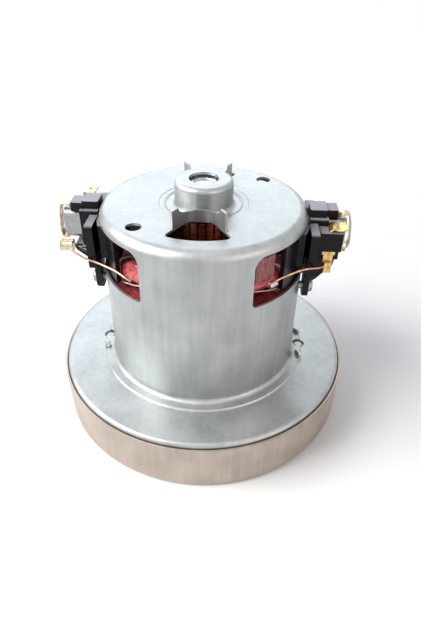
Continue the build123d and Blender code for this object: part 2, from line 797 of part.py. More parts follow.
def armature_winding():
    """Wire heads at both ends of the armature and the wire in its slots."""
    solids = []
    slot = wedge(SLOT_R_IN, SLOT_R_OUT - SHEET, -SLOT_AZ / 2, SLOT_AZ / 2, CORE_Z, CORE_TOP_Z)
    for z0 in (CORE_Z - HEAD_RISE, CORE_TOP_Z):
        solids.append(tube(HEAD_R_OUT, HEAD_R_IN, z0, z0 + HEAD_RISE))
    return solids[0].fuse(solids[1], *around(slot, ARMATURE_SLOTS))


def commutator_bars():
    """Copper bars with their wire hooks at the winding end."""
    pitch = FULL_TURN / BAR_COUNT
    half = pitch / 2 - math.degrees(BAR_GAP / 2 / BAR_R)
    bar = wedge(BAR_R_IN, BAR_R, -half, half, BAR_Z, BAR_TOP_Z)
    riser = wedge(BAR_R_IN, RISER_R, -half, half, BAR_Z - RISER, BAR_Z)
    return around(bar + riser, BAR_COUNT)


def commutator_hub():
    """Moulded hub that carries the bars on the shaft."""
    return tube(BAR_R_IN, SHAFT_R, BAR_Z - RISER, BAR_TOP_Z + HUB_PAST)


def impeller_front_plate():
    """Dished plate with the turned-down eye."""
    points = [(FAN_EYE_R, FAN_EYE_LIP_Z), (FAN_EYE_R, FAN_EYE_Z), (FAN_R, FAN_RIM_Z)]
    return pressed(points, [FAN_EYE_ROLL_R], FAN_SHROUD)


def impeller_back_plate():
    """Flat plate on the hub."""
    return tube(FAN_R, SHAFT_R, FAN_TOP_Z - FAN_PLATE, FAN_TOP_Z)


def impeller_blades():
    """Backward-curved blades that fill the space between the plates."""
    low_z = FAN_TOP_Z - FAN_PLATE
    slope = (FAN_RIM_Z - FAN_EYE_Z) / (FAN_R - FAN_EYE_R)
    start = BLADE_R_IN - SHEET
    z_in = FAN_EYE_Z + slope * (start - FAN_EYE_R)
    space = lathe([(start, z_in), (FAN_R, FAN_RIM_Z), (FAN_R, low_z), (start, low_z)])
    blade = curved_vane(BLADE_CENTRE_R, BLADE_CURVE_R, BLADE_THICK, BLADE_R_IN, BLADE_R_OUT, 0, low_z)
    return around(blade & space, BLADE_COUNT)


def impeller_spacer():
    """Sleeve between the lower bearing and the impeller."""
    return tube(SPACER_R, SHAFT_R, FAN_TOP_Z + HUB_WASHER, LOWER_BEARING_Z)


def impeller_washers():
    """Clamp washers above and below the back plate."""
    low = FAN_TOP_Z - FAN_PLATE
    upper = tube(SPACER_R, SHAFT_R, FAN_TOP_Z, FAN_TOP_Z + HUB_WASHER)
    lower = tube(HUB_WASHER_R, SHAFT_R, low - HUB_WASHER, low)
    return [upper, lower]


def impeller_nut():
    """Hexagon nut on the shaft's thread."""
    top = FAN_TOP_Z - FAN_PLATE - HUB_WASHER
    body = extrude(RegularPolygon(NUT_FLATS / 2, 6, major_radius=False), NUT_HEIGHT)
    flat, far = NUT_FLATS / 2, NUT_FLATS / 2 + SHEET
    cone = lathe([(0, 0), (flat, 0), (far, SHEET), (far, NUT_HEIGHT), (0, NUT_HEIGHT)])
    nut = (body & cone) - rod(THREAD_R, -OVERRUN, NUT_HEIGHT + OVERRUN)
    return Pos(0, 0, top - NUT_HEIGHT) * nut


# Brush gear, drawn for the right side and turned half round for the left


def brush_section(extra):
    """Half width and half height of the brush, with some room all round."""
    return BRUSH_WIDTH / 2 + extra, BRUSH_HEIGHT / 2 + extra


def box_along(u0, u1, half_v, half_z):
    """Box along the brush's axis."""
    return block((u0, -half_v, BRUSH_Z - half_z), (u1, half_v, BRUSH_Z + half_z))


def carbon_brush():
    """Carbon block whose inner end is worn to the commutator."""
    half_v, half_z = brush_section(0)
    body = box_along(BAR_R_IN, BAR_R + BRUSH_LENGTH, half_v, half_z)
    body = chamfer(body.edges().filter_by(Axis.Y).group_by(Axis.X)[-1], BRUSH_CHAMFER)
    return body - rod(BAR_R + BRUSH_GAP, BAR_Z - OVERRUN, BAR_TOP_Z + OVERRUN)


def brush_tube():
    """Folded steel tube with rounded corners."""
    half_v, half_z = brush_section(BRUSH_PLAY + TUBE_WALL)
    outer = box_along(TUBE_IN_U, TUBE_OUT_U, half_v, half_z)
    outer = fillet(outer.edges().filter_by(Axis.X), TUBE_EDGE_R)
    half_v, half_z = brush_section(BRUSH_PLAY)
    return outer - box_along(TUBE_IN_U - OVERRUN, TUBE_OUT_U + OVERRUN, half_v, half_z)


def crimp():
    """Crimped barrel with a waist, along X, bored for its lead."""
    waist = CRIMP_R - CRIMP_WAIST
    profile = [
        (LEAD_R, 0),
        (CRIMP_R, 0),
        (CRIMP_R, CRIMP_LENGTH / 3),
        (waist, CRIMP_LENGTH / 2),
        (CRIMP_R, CRIMP_LENGTH * 2 / 3),
        (CRIMP_R, CRIMP_LENGTH),
        (LEAD_R, CRIMP_LENGTH),
    ]
    return lathe(profile).rotate(Axis.Y, QUARTER)


def crimp_room(barrel):
    """Space of a crimp barrel with its bore filled, which its strip leaves free."""
    size = barrel.bounding_box()
    along = Pos(size.min.X, (size.min.Y + size.max.Y) / 2, (size.min.Z + size.max.Z) / 2)
    return along * Rot(0, QUARTER, 0) * rod(LEAD_R, 0, CRIMP_LENGTH)


def brush_end_clip():
    """Brass strip hooked over the tube's outer end, with a crimp at its foot."""
    half_v = CLIP_WIDTH / 2
    _, half_z = brush_section(BRUSH_PLAY + TUBE_WALL)
    tube_top = BRUSH_Z + half_z
    outer_u = TUBE_OUT_U + CLIP_THICK
    strip = block((TUBE_OUT_U, -half_v, CLIP_FOOT_Z), (outer_u, half_v, CLIP_TOP_Z))
    roof = block((TUBE_OUT_U - CLIP_HOOK, -half_v, CLIP_TOP_Z - CLIP_THICK), (outer_u, half_v, CLIP_TOP_Z))
    hook = block(
        (TUBE_OUT_U - CLIP_HOOK, -half_v, tube_top), (TUBE_OUT_U - CLIP_HOOK + CLIP_THICK, half_v, CLIP_TOP_Z)
    )
    arm_top = CLIP_FOOT_Z + CLIP_WIDTH
    arm = block((TUBE_OUT_U, -half_v, CLIP_FOOT_Z), (outer_u, CLIP_CRIMP_V + CRIMP_R, arm_top))
    body = joined([strip, roof, hook, arm])
    barrel = Pos(outer_u - CRIMP_LENGTH, CLIP_CRIMP_V, CLIP_CRIMP_Z) * crimp()
    neck = block(
        (TUBE_OUT_U, CLIP_CRIMP_V - CRIMP_R, CLIP_CRIMP_Z), (outer_u, CLIP_CRIMP_V + CRIMP_R, CLIP_FOOT_Z)
    )
    return joined([body, neck]) - crimp_room(barrel) + barrel


def brush_spring():
    """Room of the coil spring behind the brush, as a sleeve of its wire's thickness."""
    sleeve = tube(SPRING_R + SPRING_WIRE / 2, SPRING_R - SPRING_WIRE / 2, BAR_R + BRUSH_LENGTH, TUBE_OUT_U)
    return Pos(0, 0, BRUSH_Z) * sleeve.rotate(Axis.Y, QUARTER)


def brush_pigtail():
    """Copper strand from the brush to the end clip."""
    start = BAR_R + BRUSH_LENGTH
    strand = rod(PIGTAIL_R, start, TUBE_OUT_U)
    return Pos(0, 0, BRUSH_Z) * strand.rotate(Axis.Y, QUARTER)


def holder_shroud():
    """Curved inner wall of the holder, inside the window."""
    return wedge(
        SHROUD_R_IN, SHROUD_R_OUT, QUARTER - SHROUD_AZ, QUARTER + SHROUD_AZ, SHROUD_Z, SHROUD_TOP_Z
    )


def brush_holder():
    """Black moulded holder: body round the tube, panel outside the can, wall inside it and two ears."""
    channel = block((BODY_IN_U, -BODY_HALF_V, BODY_Z), (FLANGE_IN_U, BODY_HALF_V, BODY_INNER_Z))
    body = block((FLANGE_IN_U, -BODY_HALF_V, BODY_Z), (BODY_OUT_U, BODY_HALF_V, BODY_TOP_Z))
    body = fillet(body.edges().filter_by(Axis.X).group_by(Axis.Z)[-1], MOULD_R)
    cap = block((CAP_IN_U, -CAP_HALF_V, BODY_TOP_Z - SHEET), (CAP_OUT_U, CAP_HALF_V, CAP_TOP_Z))
    cap = fillet(cap.edges().filter_by(Axis.Z), MOULD_R)
    panel = block((FLANGE_IN_U, -FLANGE_HALF_V, FLANGE_BOTTOM_Z), (FLANGE_OUT_U, FLANGE_HALF_V, FLANGE_TOP_Z))
    panel = fillet(panel.edges().filter_by(Axis.X), 2 * MOULD_R)
    for side in (-1, 1):
        inner, outer = sorted((side * (BODY_HALF_V + PANEL_EDGE), side * (FLANGE_HALF_V - PANEL_EDGE)))
        pocket = block(
            (FLANGE_OUT_U - PANEL_DEPTH, inner, FLANGE_BOTTOM_Z + PANEL_EDGE),
            (FLANGE_OUT_U + OVERRUN, outer, FLANGE_TOP_Z - PANEL_EDGE),
        )
        panel = panel - pocket
    neck_v = FLANGE_HALF_V - PANEL_EDGE
    neck = block((SHROUD_R_IN - SHEET, -neck_v, BODY_Z), (FLANGE_IN_U + SHEET, neck_v, SHROUD_TOP_Z))
    neck = neck & rod(CAN_R + SHEET, 0, BOSS_Z)
    side_block = block((BLOCK_IN_U, -BLOCK_V_OUT, BLOCK_Z), (BLOCK_OUT_U, -BODY_HALF_V + SHEET, BLOCK_TOP_Z))
    side_block = fillet(side_block.edges().filter_by(Axis.Z), MOULD_R)
    pieces = [channel, body, cap, panel, neck, holder_shroud(), side_block]
    for side in (-1, 1):
        ear = block(
            (FLANGE_IN_U, side * EAR_AT_V - EAR_HALF_WIDTH, EAR_Z),
            (FLANGE_IN_U + EAR_THICK, side * EAR_AT_V + EAR_HALF_WIDTH, FLANGE_BOTTOM_Z + SHEET),
        )
        ear = fillet(ear.edges().filter_by(Axis.X).group_by(Axis.Z)[0], EAR_HALF_WIDTH - MOULD_R)
        pieces.append(ear)
    holder = joined(pieces)
    half_v, half_z = brush_section(BRUSH_PLAY + TUBE_WALL)
    bore = box_along(BODY_IN_U - OVERRUN, BODY_OUT_U + OVERRUN, half_v, half_z)
    bore = fillet(bore.edges().filter_by(Axis.X), TUBE_EDGE_R)
    holder = holder - bore
    for side in (-1, 1):
        place = Pos(FLANGE_IN_U, side * EAR_AT_V, EAR_SCREW_Z) * Rot(0, QUARTER, 0)
        holder = holder - place * Cylinder(SCREW_R, 2 * OVERRUN)
    return holder


def holder_screws():
    """Two slotted screws through the ears into the can."""
    screws = []
    seat = FLANGE_IN_U + EAR_THICK
    for side in (-1, 1):
        stem = rod(SCREW_R, CAN_R - SHEET - SCREW_IN, seat)
        head = rod(SCREW_HEAD_R, seat, seat + SCREW_HEAD)
        head = chamfer(head.edges().group_by(Axis.Z)[-1], SCREW_HEAD / 3)
        slot = block(
            (-SCREW_SLOT / 2, -OVERRUN, seat + SCREW_HEAD / 2), (SCREW_SLOT / 2, OVERRUN, seat + OVERRUN)
        )
        screw = (stem + head - slot).rotate(Axis.Y, QUARTER)
        screws.append(Pos(0, side * EAR_AT_V, EAR_SCREW_Z) * screw)
    return screws


def terminal_foot(roof_u, roof_z):
    """Roof over the holder's side block, from a given place, and the strip hung from it to a crimp."""
    inner = -BLOCK_V_OUT
    outer = inner - TAB_THICK
    roof = block((roof_u, outer, roof_z - TAB_THICK), (TONGUE_AT_U + TONGUE_WIDTH / 2, -BODY_HALF_V, roof_z))
    half = HANG_WIDTH / 2
    strip = block((TONGUE_AT_U - half, outer, HANG_Z), (TONGUE_AT_U + half, inner, roof_z))
    barrel = Pos(TONGUE_AT_U - CRIMP_LENGTH / 2, inner - TAB_THICK / 2, HANG_Z) * crimp()
    return joined([roof, strip]) - crimp_room(barrel) + barrel


def mains_tab():
    """Flat blade terminal on the left holder, stepped down over the holder's side to its crimp."""
    low = CAP_TOP_Z - TAB_THICK
    half = TAB_WIDTH / 2
    u0, u1 = TAB_AT_U - half, TAB_AT_U + half
    step_z = BODY_TOP_Z + TAB_THICK
    foot_v = -BODY_HALF_V - TAB_THICK
    blade = block((u0, -TAB_OUT_V, low), (u1, -CAP_HALF_V, CAP_TOP_Z))
    blade = chamfer(blade.edges().filter_by(Axis.Z).group_by(Axis.Y)[0], TAB_THICK)
    hole = Pos(TAB_AT_U, -(TAB_OUT_V + CAP_HALF_V) / 2, low) * Cylinder(TAB_HOLE_R, OVERRUN)
    stem = block((u0, -CAP_HALF_V - TAB_THICK, BODY_TOP_Z), (u1, -CAP_HALF_V, low))
    step = block((u0, foot_v, BODY_TOP_Z), (u1, -CAP_HALF_V, step_z))
    drop = block((u0, foot_v, BLOCK_TOP_Z), (u1, -BODY_HALF_V, step_z))
    return joined([blade - hole, stem, step, drop, terminal_foot(u0, BLOCK_TOP_Z + TAB_THICK)])


def mains_tongue():
    """Bent tongue terminal on the right holder, folded down over its block to a crimp."""
    half = TONGUE_WIDTH / 2
    u0, u1 = TONGUE_AT_U - half, TONGUE_AT_U + half
    tongue = block((u0, -TONGUE_OUT_V, TONGUE_Z - TAB_THICK), (u1, -BLOCK_V_OUT, TONGUE_Z))
    tongue = fillet(tongue.edges().filter_by(Axis.Z).group_by(Axis.Y)[0], half - MOULD_R)
    return joined([tongue, terminal_foot(u0, TONGUE_Z)])


# Leads


def lead(points):
    """Round wire through the points, each corner an arc as large as its two runs allow."""
    corners = [Vector(*p) for p in points]
    radii = []
    for a, b, c in zip(corners, corners[1:], corners[2:]):
        runs = (b - a).length, (c - b).length
        turn = (b - a).get_angle(c - b)
        radii.append(RUN_SHARE * min(runs) / math.tan(math.radians(turn) / 2))
    path = Wire(FilletPolyline(*corners, radius=radii).edges())
    section = Plane(path @ 0, z_dir=path % 0) * RegularPolygon(LEAD_R, LEAD_SIDES)
    wire = sweep(section, path=path)
    share = wire.volume / (section.area * path.length)
    print("lead radii", [round(r, 1) for r in radii], "volume share", round(share, 4))
    return wire


CLIP_LEAD_ROUTE = [
    (58.0, 4.4, 77.6),
    (53.0, 4.4, 77.6),
    (48.6, 14.8, 78.0),
    (47.2, 18.4, 79.2),
    (42.3, 20.3, 80.0),
    (38.0, 22.4, 79.7),
    (34.2, 25.2, 79.8),
    (31.0, 27.6, 79.4),
    (28.0, 29.4, 78.8),
    (26.4, 29.8, 78.2),
]
TONGUE_LEAD_ROUTE = [
    (55.0, -10.8, 76.5),
    (50.6, -10.8, 76.5),
    (48.2, -15.0, 78.0),
    (46.6, -18.5, 79.9),
    (42.5, -20.2, 81.0),
    (39.0, -21.6, 81.0),
    (35.6, -24.4, 81.4),
    (31.6, -28.3, 80.9),
    (27.4, -30.4, 79.2),
]
SPLICE_R = 1.3
SPLICE_LENGTH = 3.2


def lead_splice():
    """Crimped sleeve that joins a terminal's lead to its coil."""
    start, end = Vector(*TONGUE_LEAD_ROUTE[-2]), Vector(*TONGUE_LEAD_ROUTE[-1])
    along = (end - start).normalized()
    place = Plane(end - along * (SPLICE_LENGTH + LEAD_R), z_dir=along)
    sleeve = place * Cylinder(SPLICE_R, SPLICE_LENGTH, align=(Align.CENTER, Align.CENTER, Align.MIN))
    return sleeve - place * Cylinder(LEAD_R, 2 * OVERRUN)


# The whole unit


def main():
    """Build every piece and write it as its own file."""
    save("motor_housing", motor_housing())
    save("fan_cover", fan_cover())
    save("inlet_seal_ring", inlet_seal_ring())
    save("lower_bearing_bracket", lower_bearing_bracket())
    save("bracket_screws", bracket_screws())
    save("diffuser", diffuser())
    save("diffuser_screws", diffuser_screws())
    save("lower_bearing_outer_ring", bearing_outer(LOWER_BEARING_Z))
    save("upper_bearing_outer_ring", bearing_outer(UPPER_BEARING_Z))
    save("lower_bearing_inner_ring", bearing_inner(LOWER_BEARING_Z))
    save("upper_bearing_inner_ring", bearing_inner(UPPER_BEARING_Z))
    save("bearing_shields", bearing_shields())
    save("bearing_wave_washer", bearing_wave_washer())
    save("stator_core", stator_core())
    coil = field_coil()
    save("field_coil_front", coil)
    save("field_coil_back", spin(coil, HALF_TURN))
    save("coil_insulation_plates", coil_insulation_plates())
    save("coil_lacing", coil_lacing())
    save("shaft", shaft())
    save("armature_core", armature_core())
    save("armature_winding", armature_winding())
    save("commutator_bars", commutator_bars())
    save("commutator_hub", commutator_hub())
    save("impeller_front_plate", impeller_front_plate())
    save("impeller_back_plate", impeller_back_plate())
    save("impeller_blades", impeller_blades())
    save("impeller_spacer", impeller_spacer())
    save("impeller_washers", impeller_washers())
    save("impeller_nut", impeller_nut())
    for side, turn in (("right", 0), ("left", HALF_TURN)):
        save(f"carbon_brush_{side}", spin(carbon_brush(), turn))
        save(f"brush_tube_{side}", spin(brush_tube(), turn))
        save(f"brush_end_clip_{side}", spin(brush_end_clip(), turn))
        save(f"brush_spring_{side}", spin(brush_spring(), turn))
        save(f"brush_pigtail_{side}", spin(brush_pigtail(), turn))
        save(f"brush_holder_{side}", spin(brush_holder(), turn))
        save(f"holder_screws_{side}", [spin(screw, turn) for screw in holder_screws()])
    save("mains_terminal_left", spin(mains_tab(), HALF_TURN))
    save("mains_terminal_right", mains_tongue())
    clip_lead = lead(CLIP_LEAD_ROUTE)
    save("coil_lead_front_left", spin(clip_lead, HALF_TURN))
    save("coil_lead_back_right", clip_lead)
    tongue_lead = lead(TONGUE_LEAD_ROUTE)
    save("coil_lead_front_right", tongue_lead)
    save("coil_lead_back_left", spin(tongue_lead, HALF_TURN))
    save("lead_splices", around(lead_splice(), 2))


main()
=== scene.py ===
import math

import bmesh
import bpy
import numpy as np
from mathutils import Matrix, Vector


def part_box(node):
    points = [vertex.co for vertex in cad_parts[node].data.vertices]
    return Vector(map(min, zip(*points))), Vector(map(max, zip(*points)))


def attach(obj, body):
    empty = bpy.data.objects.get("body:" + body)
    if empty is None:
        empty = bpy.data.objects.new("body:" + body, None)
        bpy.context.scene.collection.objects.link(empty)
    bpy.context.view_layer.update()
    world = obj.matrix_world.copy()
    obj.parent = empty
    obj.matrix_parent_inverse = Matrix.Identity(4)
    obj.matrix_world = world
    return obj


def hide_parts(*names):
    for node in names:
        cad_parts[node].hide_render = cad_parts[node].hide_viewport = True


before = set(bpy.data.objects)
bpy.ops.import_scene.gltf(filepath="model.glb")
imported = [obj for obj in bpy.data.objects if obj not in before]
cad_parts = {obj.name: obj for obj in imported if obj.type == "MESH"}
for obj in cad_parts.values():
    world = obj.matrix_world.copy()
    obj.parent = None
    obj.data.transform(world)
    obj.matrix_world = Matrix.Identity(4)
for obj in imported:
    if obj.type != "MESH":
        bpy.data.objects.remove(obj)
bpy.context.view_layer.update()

# Vacuum cleaner motor unit, upright on its fan cover. Lengths are in millimetres and become metres
# through MM as they enter the scene. An angle named az is counted from the front (-Y) towards +X, in degrees.
MM = 0.001
FRONT, BACK = 0.0, 180.0

# Housing, as the frame has it
SHEET = 1.0
CAN_R = 43.0
DISC_Z = 99.3
SHOULDER_R = 4.0
BOSS_R = 12.0
BOSS_Z = 109.3
BOSS_EDGE_R = 1.9
BOSS_HOLE_R = 6.1
MOAT_R = 15.4
MOAT_DEPTH = 0.8
MOAT_RAMP = 1.1
MOAT_BEND_R = 1.7
MOAT_CREST_R = 1.4
MOAT_STEP = 0.2
MOAT_OUTER_R = 18.4
FLANGE_Z = 25.4
FOOT_R = 47.6
FOOT_STEP = 0.6
FOOT_FILLET = 2.2
STEP_BEND_R = 0.35
COVER_R = 67.5
COVER_SHEET = 0.9
RIM_PLAY = 0.5
RIM_EDGE_R = 1.8
RIM_BOTTOM_Z = 17.0
COVER_TOP_Z = 23.5
COVER_CORNER_R = 2.6
INLET_R = 18.0
INLET_LIP_Z = 4.0
INLET_ROLL_R = 1.6

# Openings of the housing
WINDOW_Z = 73.0
WINDOW_TOP_Z = 95.1
WINDOW_AZ = 30.0
WINDOW_TOP_R = 5.0
WINDOW_BOTTOM_R = 2.0
LIP_APEX_Y = 15.2
LIP_APEX_R = 6.8
LIP_HALF_ANGLE = 30.0
LIP_MOUTH_R = 33.2
LIP_CORNER_R = 1.8
MOUTH_FROM = 5
LIP_RISE = 3.4
HORN_RISE = 7.1
HORN_X = 7.7
HORN_CURVE = 3.7
HORN_END_Y = 25.3
LIP_FILLET = 1.3
LIP_EDGE = 0.3
DISC_HOLE_R = 3.15
DISC_HOLE_AT = 24.7
FIX_AT_R = 47.0
FIX_HOLE_R = 2.9
LUG_AZ = 10.6
LUG_SLOT = (1.9, 5.3)
EAR_AT_V = 9.0
EAR_SCREW_Z = 66.5
EAR_HOLE_R = 1.64

# Coils
CORE_Z = 40.0
CORE_TOP_Z = 70.0
COIL_LOW_Z = 27.0
COIL_TOP_Z = 83.0
COIL_INNER_Z = (39.0, 71.0)
COIL_AZ_IN = 29.0
COIL_AZ_OUT = 60.0
COIL_LEG_R = (27.6, 32.2)
COIL_HEAD_R = (33.4, 38.9)
COIL_CORNER = 7.0
COIL_TUCK = 8.0
COIL_EASE_AZ = 4.0
COIL_MID_R = 36.6
COIL_SQUARENESS = 0.32
WIRE = 0.8
WIRE_DENT = 3
WIRES_ROUND = 46
WIRE_SAMPLES = 5
COIL_STEPS = 260
LACE_AZ = (18.0, 56.0)
LACE_R = 0.26
LACE_CORNER_R = 1.6
CORD_STEPS = 10
LACE_TURNS = 2
RUNNING_CORD_AZ = (20.0, 54.0)
RUNNING_CORD_Z = (80.6, 73.4)
BOARD_AZ = (34.0, 47.5)
BOARD_R = {1: (38.9, 39.5), -1: (31.4, 32.2)}
BOARD_Z = {1: (82.0, 91.6), -1: (83.0, 91.2)}

# Shaft, bearings and armature
SHAFT_R = 4.0
BEARING_R = 11.0
BEARING_LAND = (1.7, 1.9)
BEARING_EDGE = 0.25
ARMATURE_HEAD_R = (8.5, 20.4)
ARMATURE_HEAD = 7.0
ARMATURE_HEAD_BENDS = [0, 3.0, 1.5]
ARMATURE_HEAD_TWIST = 90.0
ARMATURE_SLOTS = 22
STRAND_DEPTH = 0.5

# Fan
FAN_R = 54.0
FAN_EYE_R = 19.6
FAN_EYE_LIP_Z = 2.2
FAN_EYE_Z = 5.4
FAN_RIM_Z = 8.2
FAN_EYE_ROLL_R = 2.4
FAN_SHROUD = 0.8

# Leads
LEAD_R = 0.45
LEAD_STEPS = 12
LEAD_ROUNDING = 3
CLIP_LEAD_ROUTE = [
    (58.0, 4.8, 78.6),
    (57.3, 6.2, 77.1),
    (53.1, 10.5, 77.7),
    (49.0, 14.8, 78.6),
    (45.0, 18.4, 79.8),
    (41.3, 21.2, 80.6),
    (37.2, 23.6, 80.4),
    (33.3, 25.8, 80.2),
    (29.9, 28.2, 79.5),
    (27.7, 29.6, 78.8),
    (26.4, 29.8, 78.2),
]
TONGUE_LEAD_ROUTE = [
    (51.7, -11.8, 79.0),
    (51.3, -12.0, 78.4),
    (49.3, -13.6, 78.2),
    (46.1, -17.2, 80.0),
    (43.0, -20.4, 81.7),
    (39.7, -22.0, 81.6),
    (36.5, -24.2, 81.5),
    (32.9, -26.6, 81.1),
    (29.2, -29.2, 80.5),
    (27.0, -30.6, 80.4),
]

# Brush gear, with u outwards from the shaft and v across, in the right holder's frame
BRUSH_Z = 88.25
TUBE_U = (16.0, 58.8)
TUBE_HALF = (4.2, 6.5)
TUBE_BORE = (3.3, 5.6)
TUBE_OUTER_R = 3.1
TUBE_INNER_R = 1.6
TUBE_EDGE = 0.25
CLIP_LINE = [(55.2, 95.3), (57.2, 97.0), (60.0, 96.7), (61.1, 92.0), (61.9, 84.0), (61.2, 81.2), (58.4, 81.0)]
CLIP_BENDS = [0.9, 1.1, 2.0, 2.4, 0.7]
CLIP_SHEET = 0.5
CLIP_HALF = 2.0
CRIMP_R = 2.7
CRIMP_DENT = 0.3
CRIMP_MOUTH = 0.1
CRIMP_FLARE = 6
CRIMP_U = (56.2, 61.4)
CRIMP_AT = (4.8, 78.9)
CAP_BLOCK = ((49.6, -2.6, 94.6), (54.8, 4.6, 98.6))
SHELF = [(46.0, -2.0), (55.4, -2.0), (55.0, 5.6), (52.2, 8.2), (46.0, 12.4)]
SHELF_Z = (78.4, 79.6)
SHELF_BLOCK = ((48.2, 5.0, 79.4), (51.6, 8.2, 80.1))
WEB_V = (4.8, 6.2)
WEB_LEFT = [(46.0, 79.6), (55.2, 79.6), (54.6, 77.6), (46.0, 70.6)]
WEB_RIGHT = [(46.0, 79.6), (56.0, 79.6), (55.2, 75.2), (49.3, 68.2), (46.0, 65.0)]
SIDE_BLOCK = ((46.0, -12.6, 85.2), (56.4, -6.0, 93.3))
TONGUE_LINE = [(50.6, 93.5), (52.4, 95.1), (55.0, 94.3), (57.8, 95.0)]
TONGUE_BENDS = [1.6, 1.2]
TONGUE_V = (-11.8, -4.8)
TERMINAL_SHEET = 0.6
FOLD = ((48.9, -12.5, 83.6), (54.2, -11.4, 85.6))
HANGING_STRIP = ((49.6, -12.2, 79.6), (53.6, -11.6, 84.0))
HANGING_CRIMP_Z = (75.8, 80.4)
HANGING_CRIMP_AT = (51.7, -11.8)
HANGING_CRIMP_R = 2.0

# Broken edges of pieces taken from the frame
HOLDER_EDGE = 0.35
SCREW_EDGE = 0.2
TAB_EDGE = 0.2
SPLICE_EDGE = 0.25
BAR_EDGE = 0.12
BRACKET_EDGE = 0.25

# Steps and limits of the surfaces
ROUND_STEPS = 256
HOLE_STEPS = 48
ARC_STEPS = 10
SMOOTH_UNDER = math.radians(32.0)
FLAT_UNDER = math.radians(1.5)
SAME_PLACE = 1e-6
OVERRUN = 5.0

# Materials: the sizes of each one's patterns, then the depth of its fine relief
PATTERN_RANGE = (0.3, 0.7)
ZINC_PATTERN = (2.2, 14.0, 0.5, 0.01)
BEARING_PATTERN = (4.0, 0.006)
MOULDING_PATTERN = (6.0, 0.35, 0.015)
STRIP_PATTERN = (2.5, 0.3, 0.01)
WIRE_PATTERN = (1.6, 0.01)
BAR_PATTERN = (3.0, 0.6, 0.012)
WINDING_PATTERN = (2.2, 0.9, 0.05)
BOARD_PATTERN = (0.8, 0.03)
CORD_RELIEF = 0.06
LAMINATION_PATTERN = (5.0, 2.5, 0.04)
CARBON_PATTERN = (0.25, 0.02)
FELT_PATTERN = (0.5, 0.25)
ALUMINIUM_PATTERN = (9.0, 0.01)
RESIN_PATTERN = (0.7, 0.02)

# Camera and light, from the photograph. A lamp is its name, place, size, watts and colour.
CAMERA_AT = (14.50, -191.87, 188.38)
CAMERA_YAW = math.radians(-3.33)
CAMERA_PITCH = math.radians(37.64)
CAMERA_ROLL = math.radians(0.74)
CAMERA_LENS = 28.69
CAMERA_CLIP = (5.0, 20000.0)
FLOOR_RINGS = (0.01, 200.0, 4000.0)
FLOOR_STEPS = 64
FLOOR_FADE = (90.0, 260.0)
FLOOR_CLOUD = 166.7
LAMPS_AIM = (0, 0, 60)
LAMPS = [
    ("window_light", (-520, -160, 520), (520, 520), 8.0, "#ffffff"),
    ("fill_light", (480, -420, 300), (400, 400), 1.0, "#ffece4"),
    ("back_light", (-120, 460, 330), (620, 240), 1.1, "#e8f4ff"),
]
ROOM_COLOUR = "#c9ced2"
ROOM_STRENGTH = 0.62


# Shapes


def circle_points(az, r, z):
    """Points at angle az from the front: (r sin az, -r cos az, z), for arrays of any matching shape."""
    a = np.radians(az)
    return np.stack(np.broadcast_arrays(r * np.sin(a), -r * np.cos(a), z), -1)


def rounded(points, radii):
    """Flat line whose corners are arcs: centre plus radius times (cos, sin) of an even sweep."""
    points = np.array(points, float)
    line = [points[:1]]
    for before, corner, after, radius in zip(points, points[1:], points[2:], radii):
        into, out = corner - before, after - corner
        into, out = into / np.hypot(*into), out / np.hypot(*out)
        turn = math.atan2(into[0] * out[1] - into[1] * out[0], into @ out)
        side = math.copysign(math.pi / 2, turn)
        start = corner - into * radius * math.tan(abs(turn) / 2)
        heading = math.atan2(into[1], into[0])
        centre = start + radius * np.array((math.cos(heading + side), math.sin(heading + side)))
        sweep = heading - side + turn * np.linspace(0, 1, ARC_STEPS if radius else 1)
        arc = centre + radius * np.stack((np.cos(sweep), np.sin(sweep)), -1)
        line.append(arc if radius else corner[None])
    return np.concatenate(line + [points[-1:]])


def thickened(line, thick):
    """Closed outline of a sheet: the line, then itself set back to its right by the mitred normals."""
    step = np.diff(line, axis=0)
    step = step / np.linalg.norm(step, axis=1)[:, None]
    normal = np.stack((step[:, 1], -step[:, 0]), -1)
    before, after = np.vstack((normal[:1], normal)), np.vstack((normal, normal[-1:]))
    back = line + (before + after) * (thick / (1 + np.sum(before * after, axis=1)))[:, None]
    return np.vstack((line, back[::-1]))


def grid_faces(rows, columns, closed_rows, closed_columns):
    """Quads between neighbours of a grid of points, joined up at its ends where it is closed."""
    i = np.arange(rows if closed_rows else rows - 1)[:, None]
    j = np.arange(columns if closed_columns else columns - 1)[None, :]
    i_next, j_next = (i + 1) % rows, (j + 1) % columns
    corners = (i * columns + j, i * columns + j_next, i_next * columns + j_next, i_next * columns + j)
    return np.stack(np.broadcast_arrays(*corners), -1).reshape(-1, 4)


def linked(name, data):
    """A new object in the scene."""
    made = bpy.data.objects.new(name, data)
    bpy.context.scene.collection.objects.link(made)
    return made


def turned_to(name, data, columns, at):
    """A new object whose own axes are three directions, at a place in millimetres."""
    turn = np.eye(4)
    turn[:3, :3] = np.column_stack(columns)
    turn[:3, 3] = np.array(at) * MM
    made = linked(name, data)
    made.matrix_world = Matrix(turn.tolist())
    return made


def add_piece(name, points, faces):
    """One mesh object from points in millimetres and faces, its normals outwards."""
    mesh = bpy.data.meshes.new(name)
    corners = (np.reshape(points, (-1, 3)) * MM).tolist()
    mesh.from_pydata(corners, [], [list(map(int, face)) for face in faces])
    made = linked(name, mesh)
    tidy_mesh(made)
    return made


def tidy_mesh(piece):
    """Outward normals, smooth shading under a set angle, and flat faces kept flat."""
    shape = bmesh.new()
    shape.from_mesh(piece.data)
    bmesh.ops.recalc_face_normals(shape, faces=shape.faces)
    shape.to_mesh(piece.data)
    shape.free()
    piece.data.shade_smooth()
    piece.data.set_sharp_from_angle(angle=SMOOTH_UNDER)


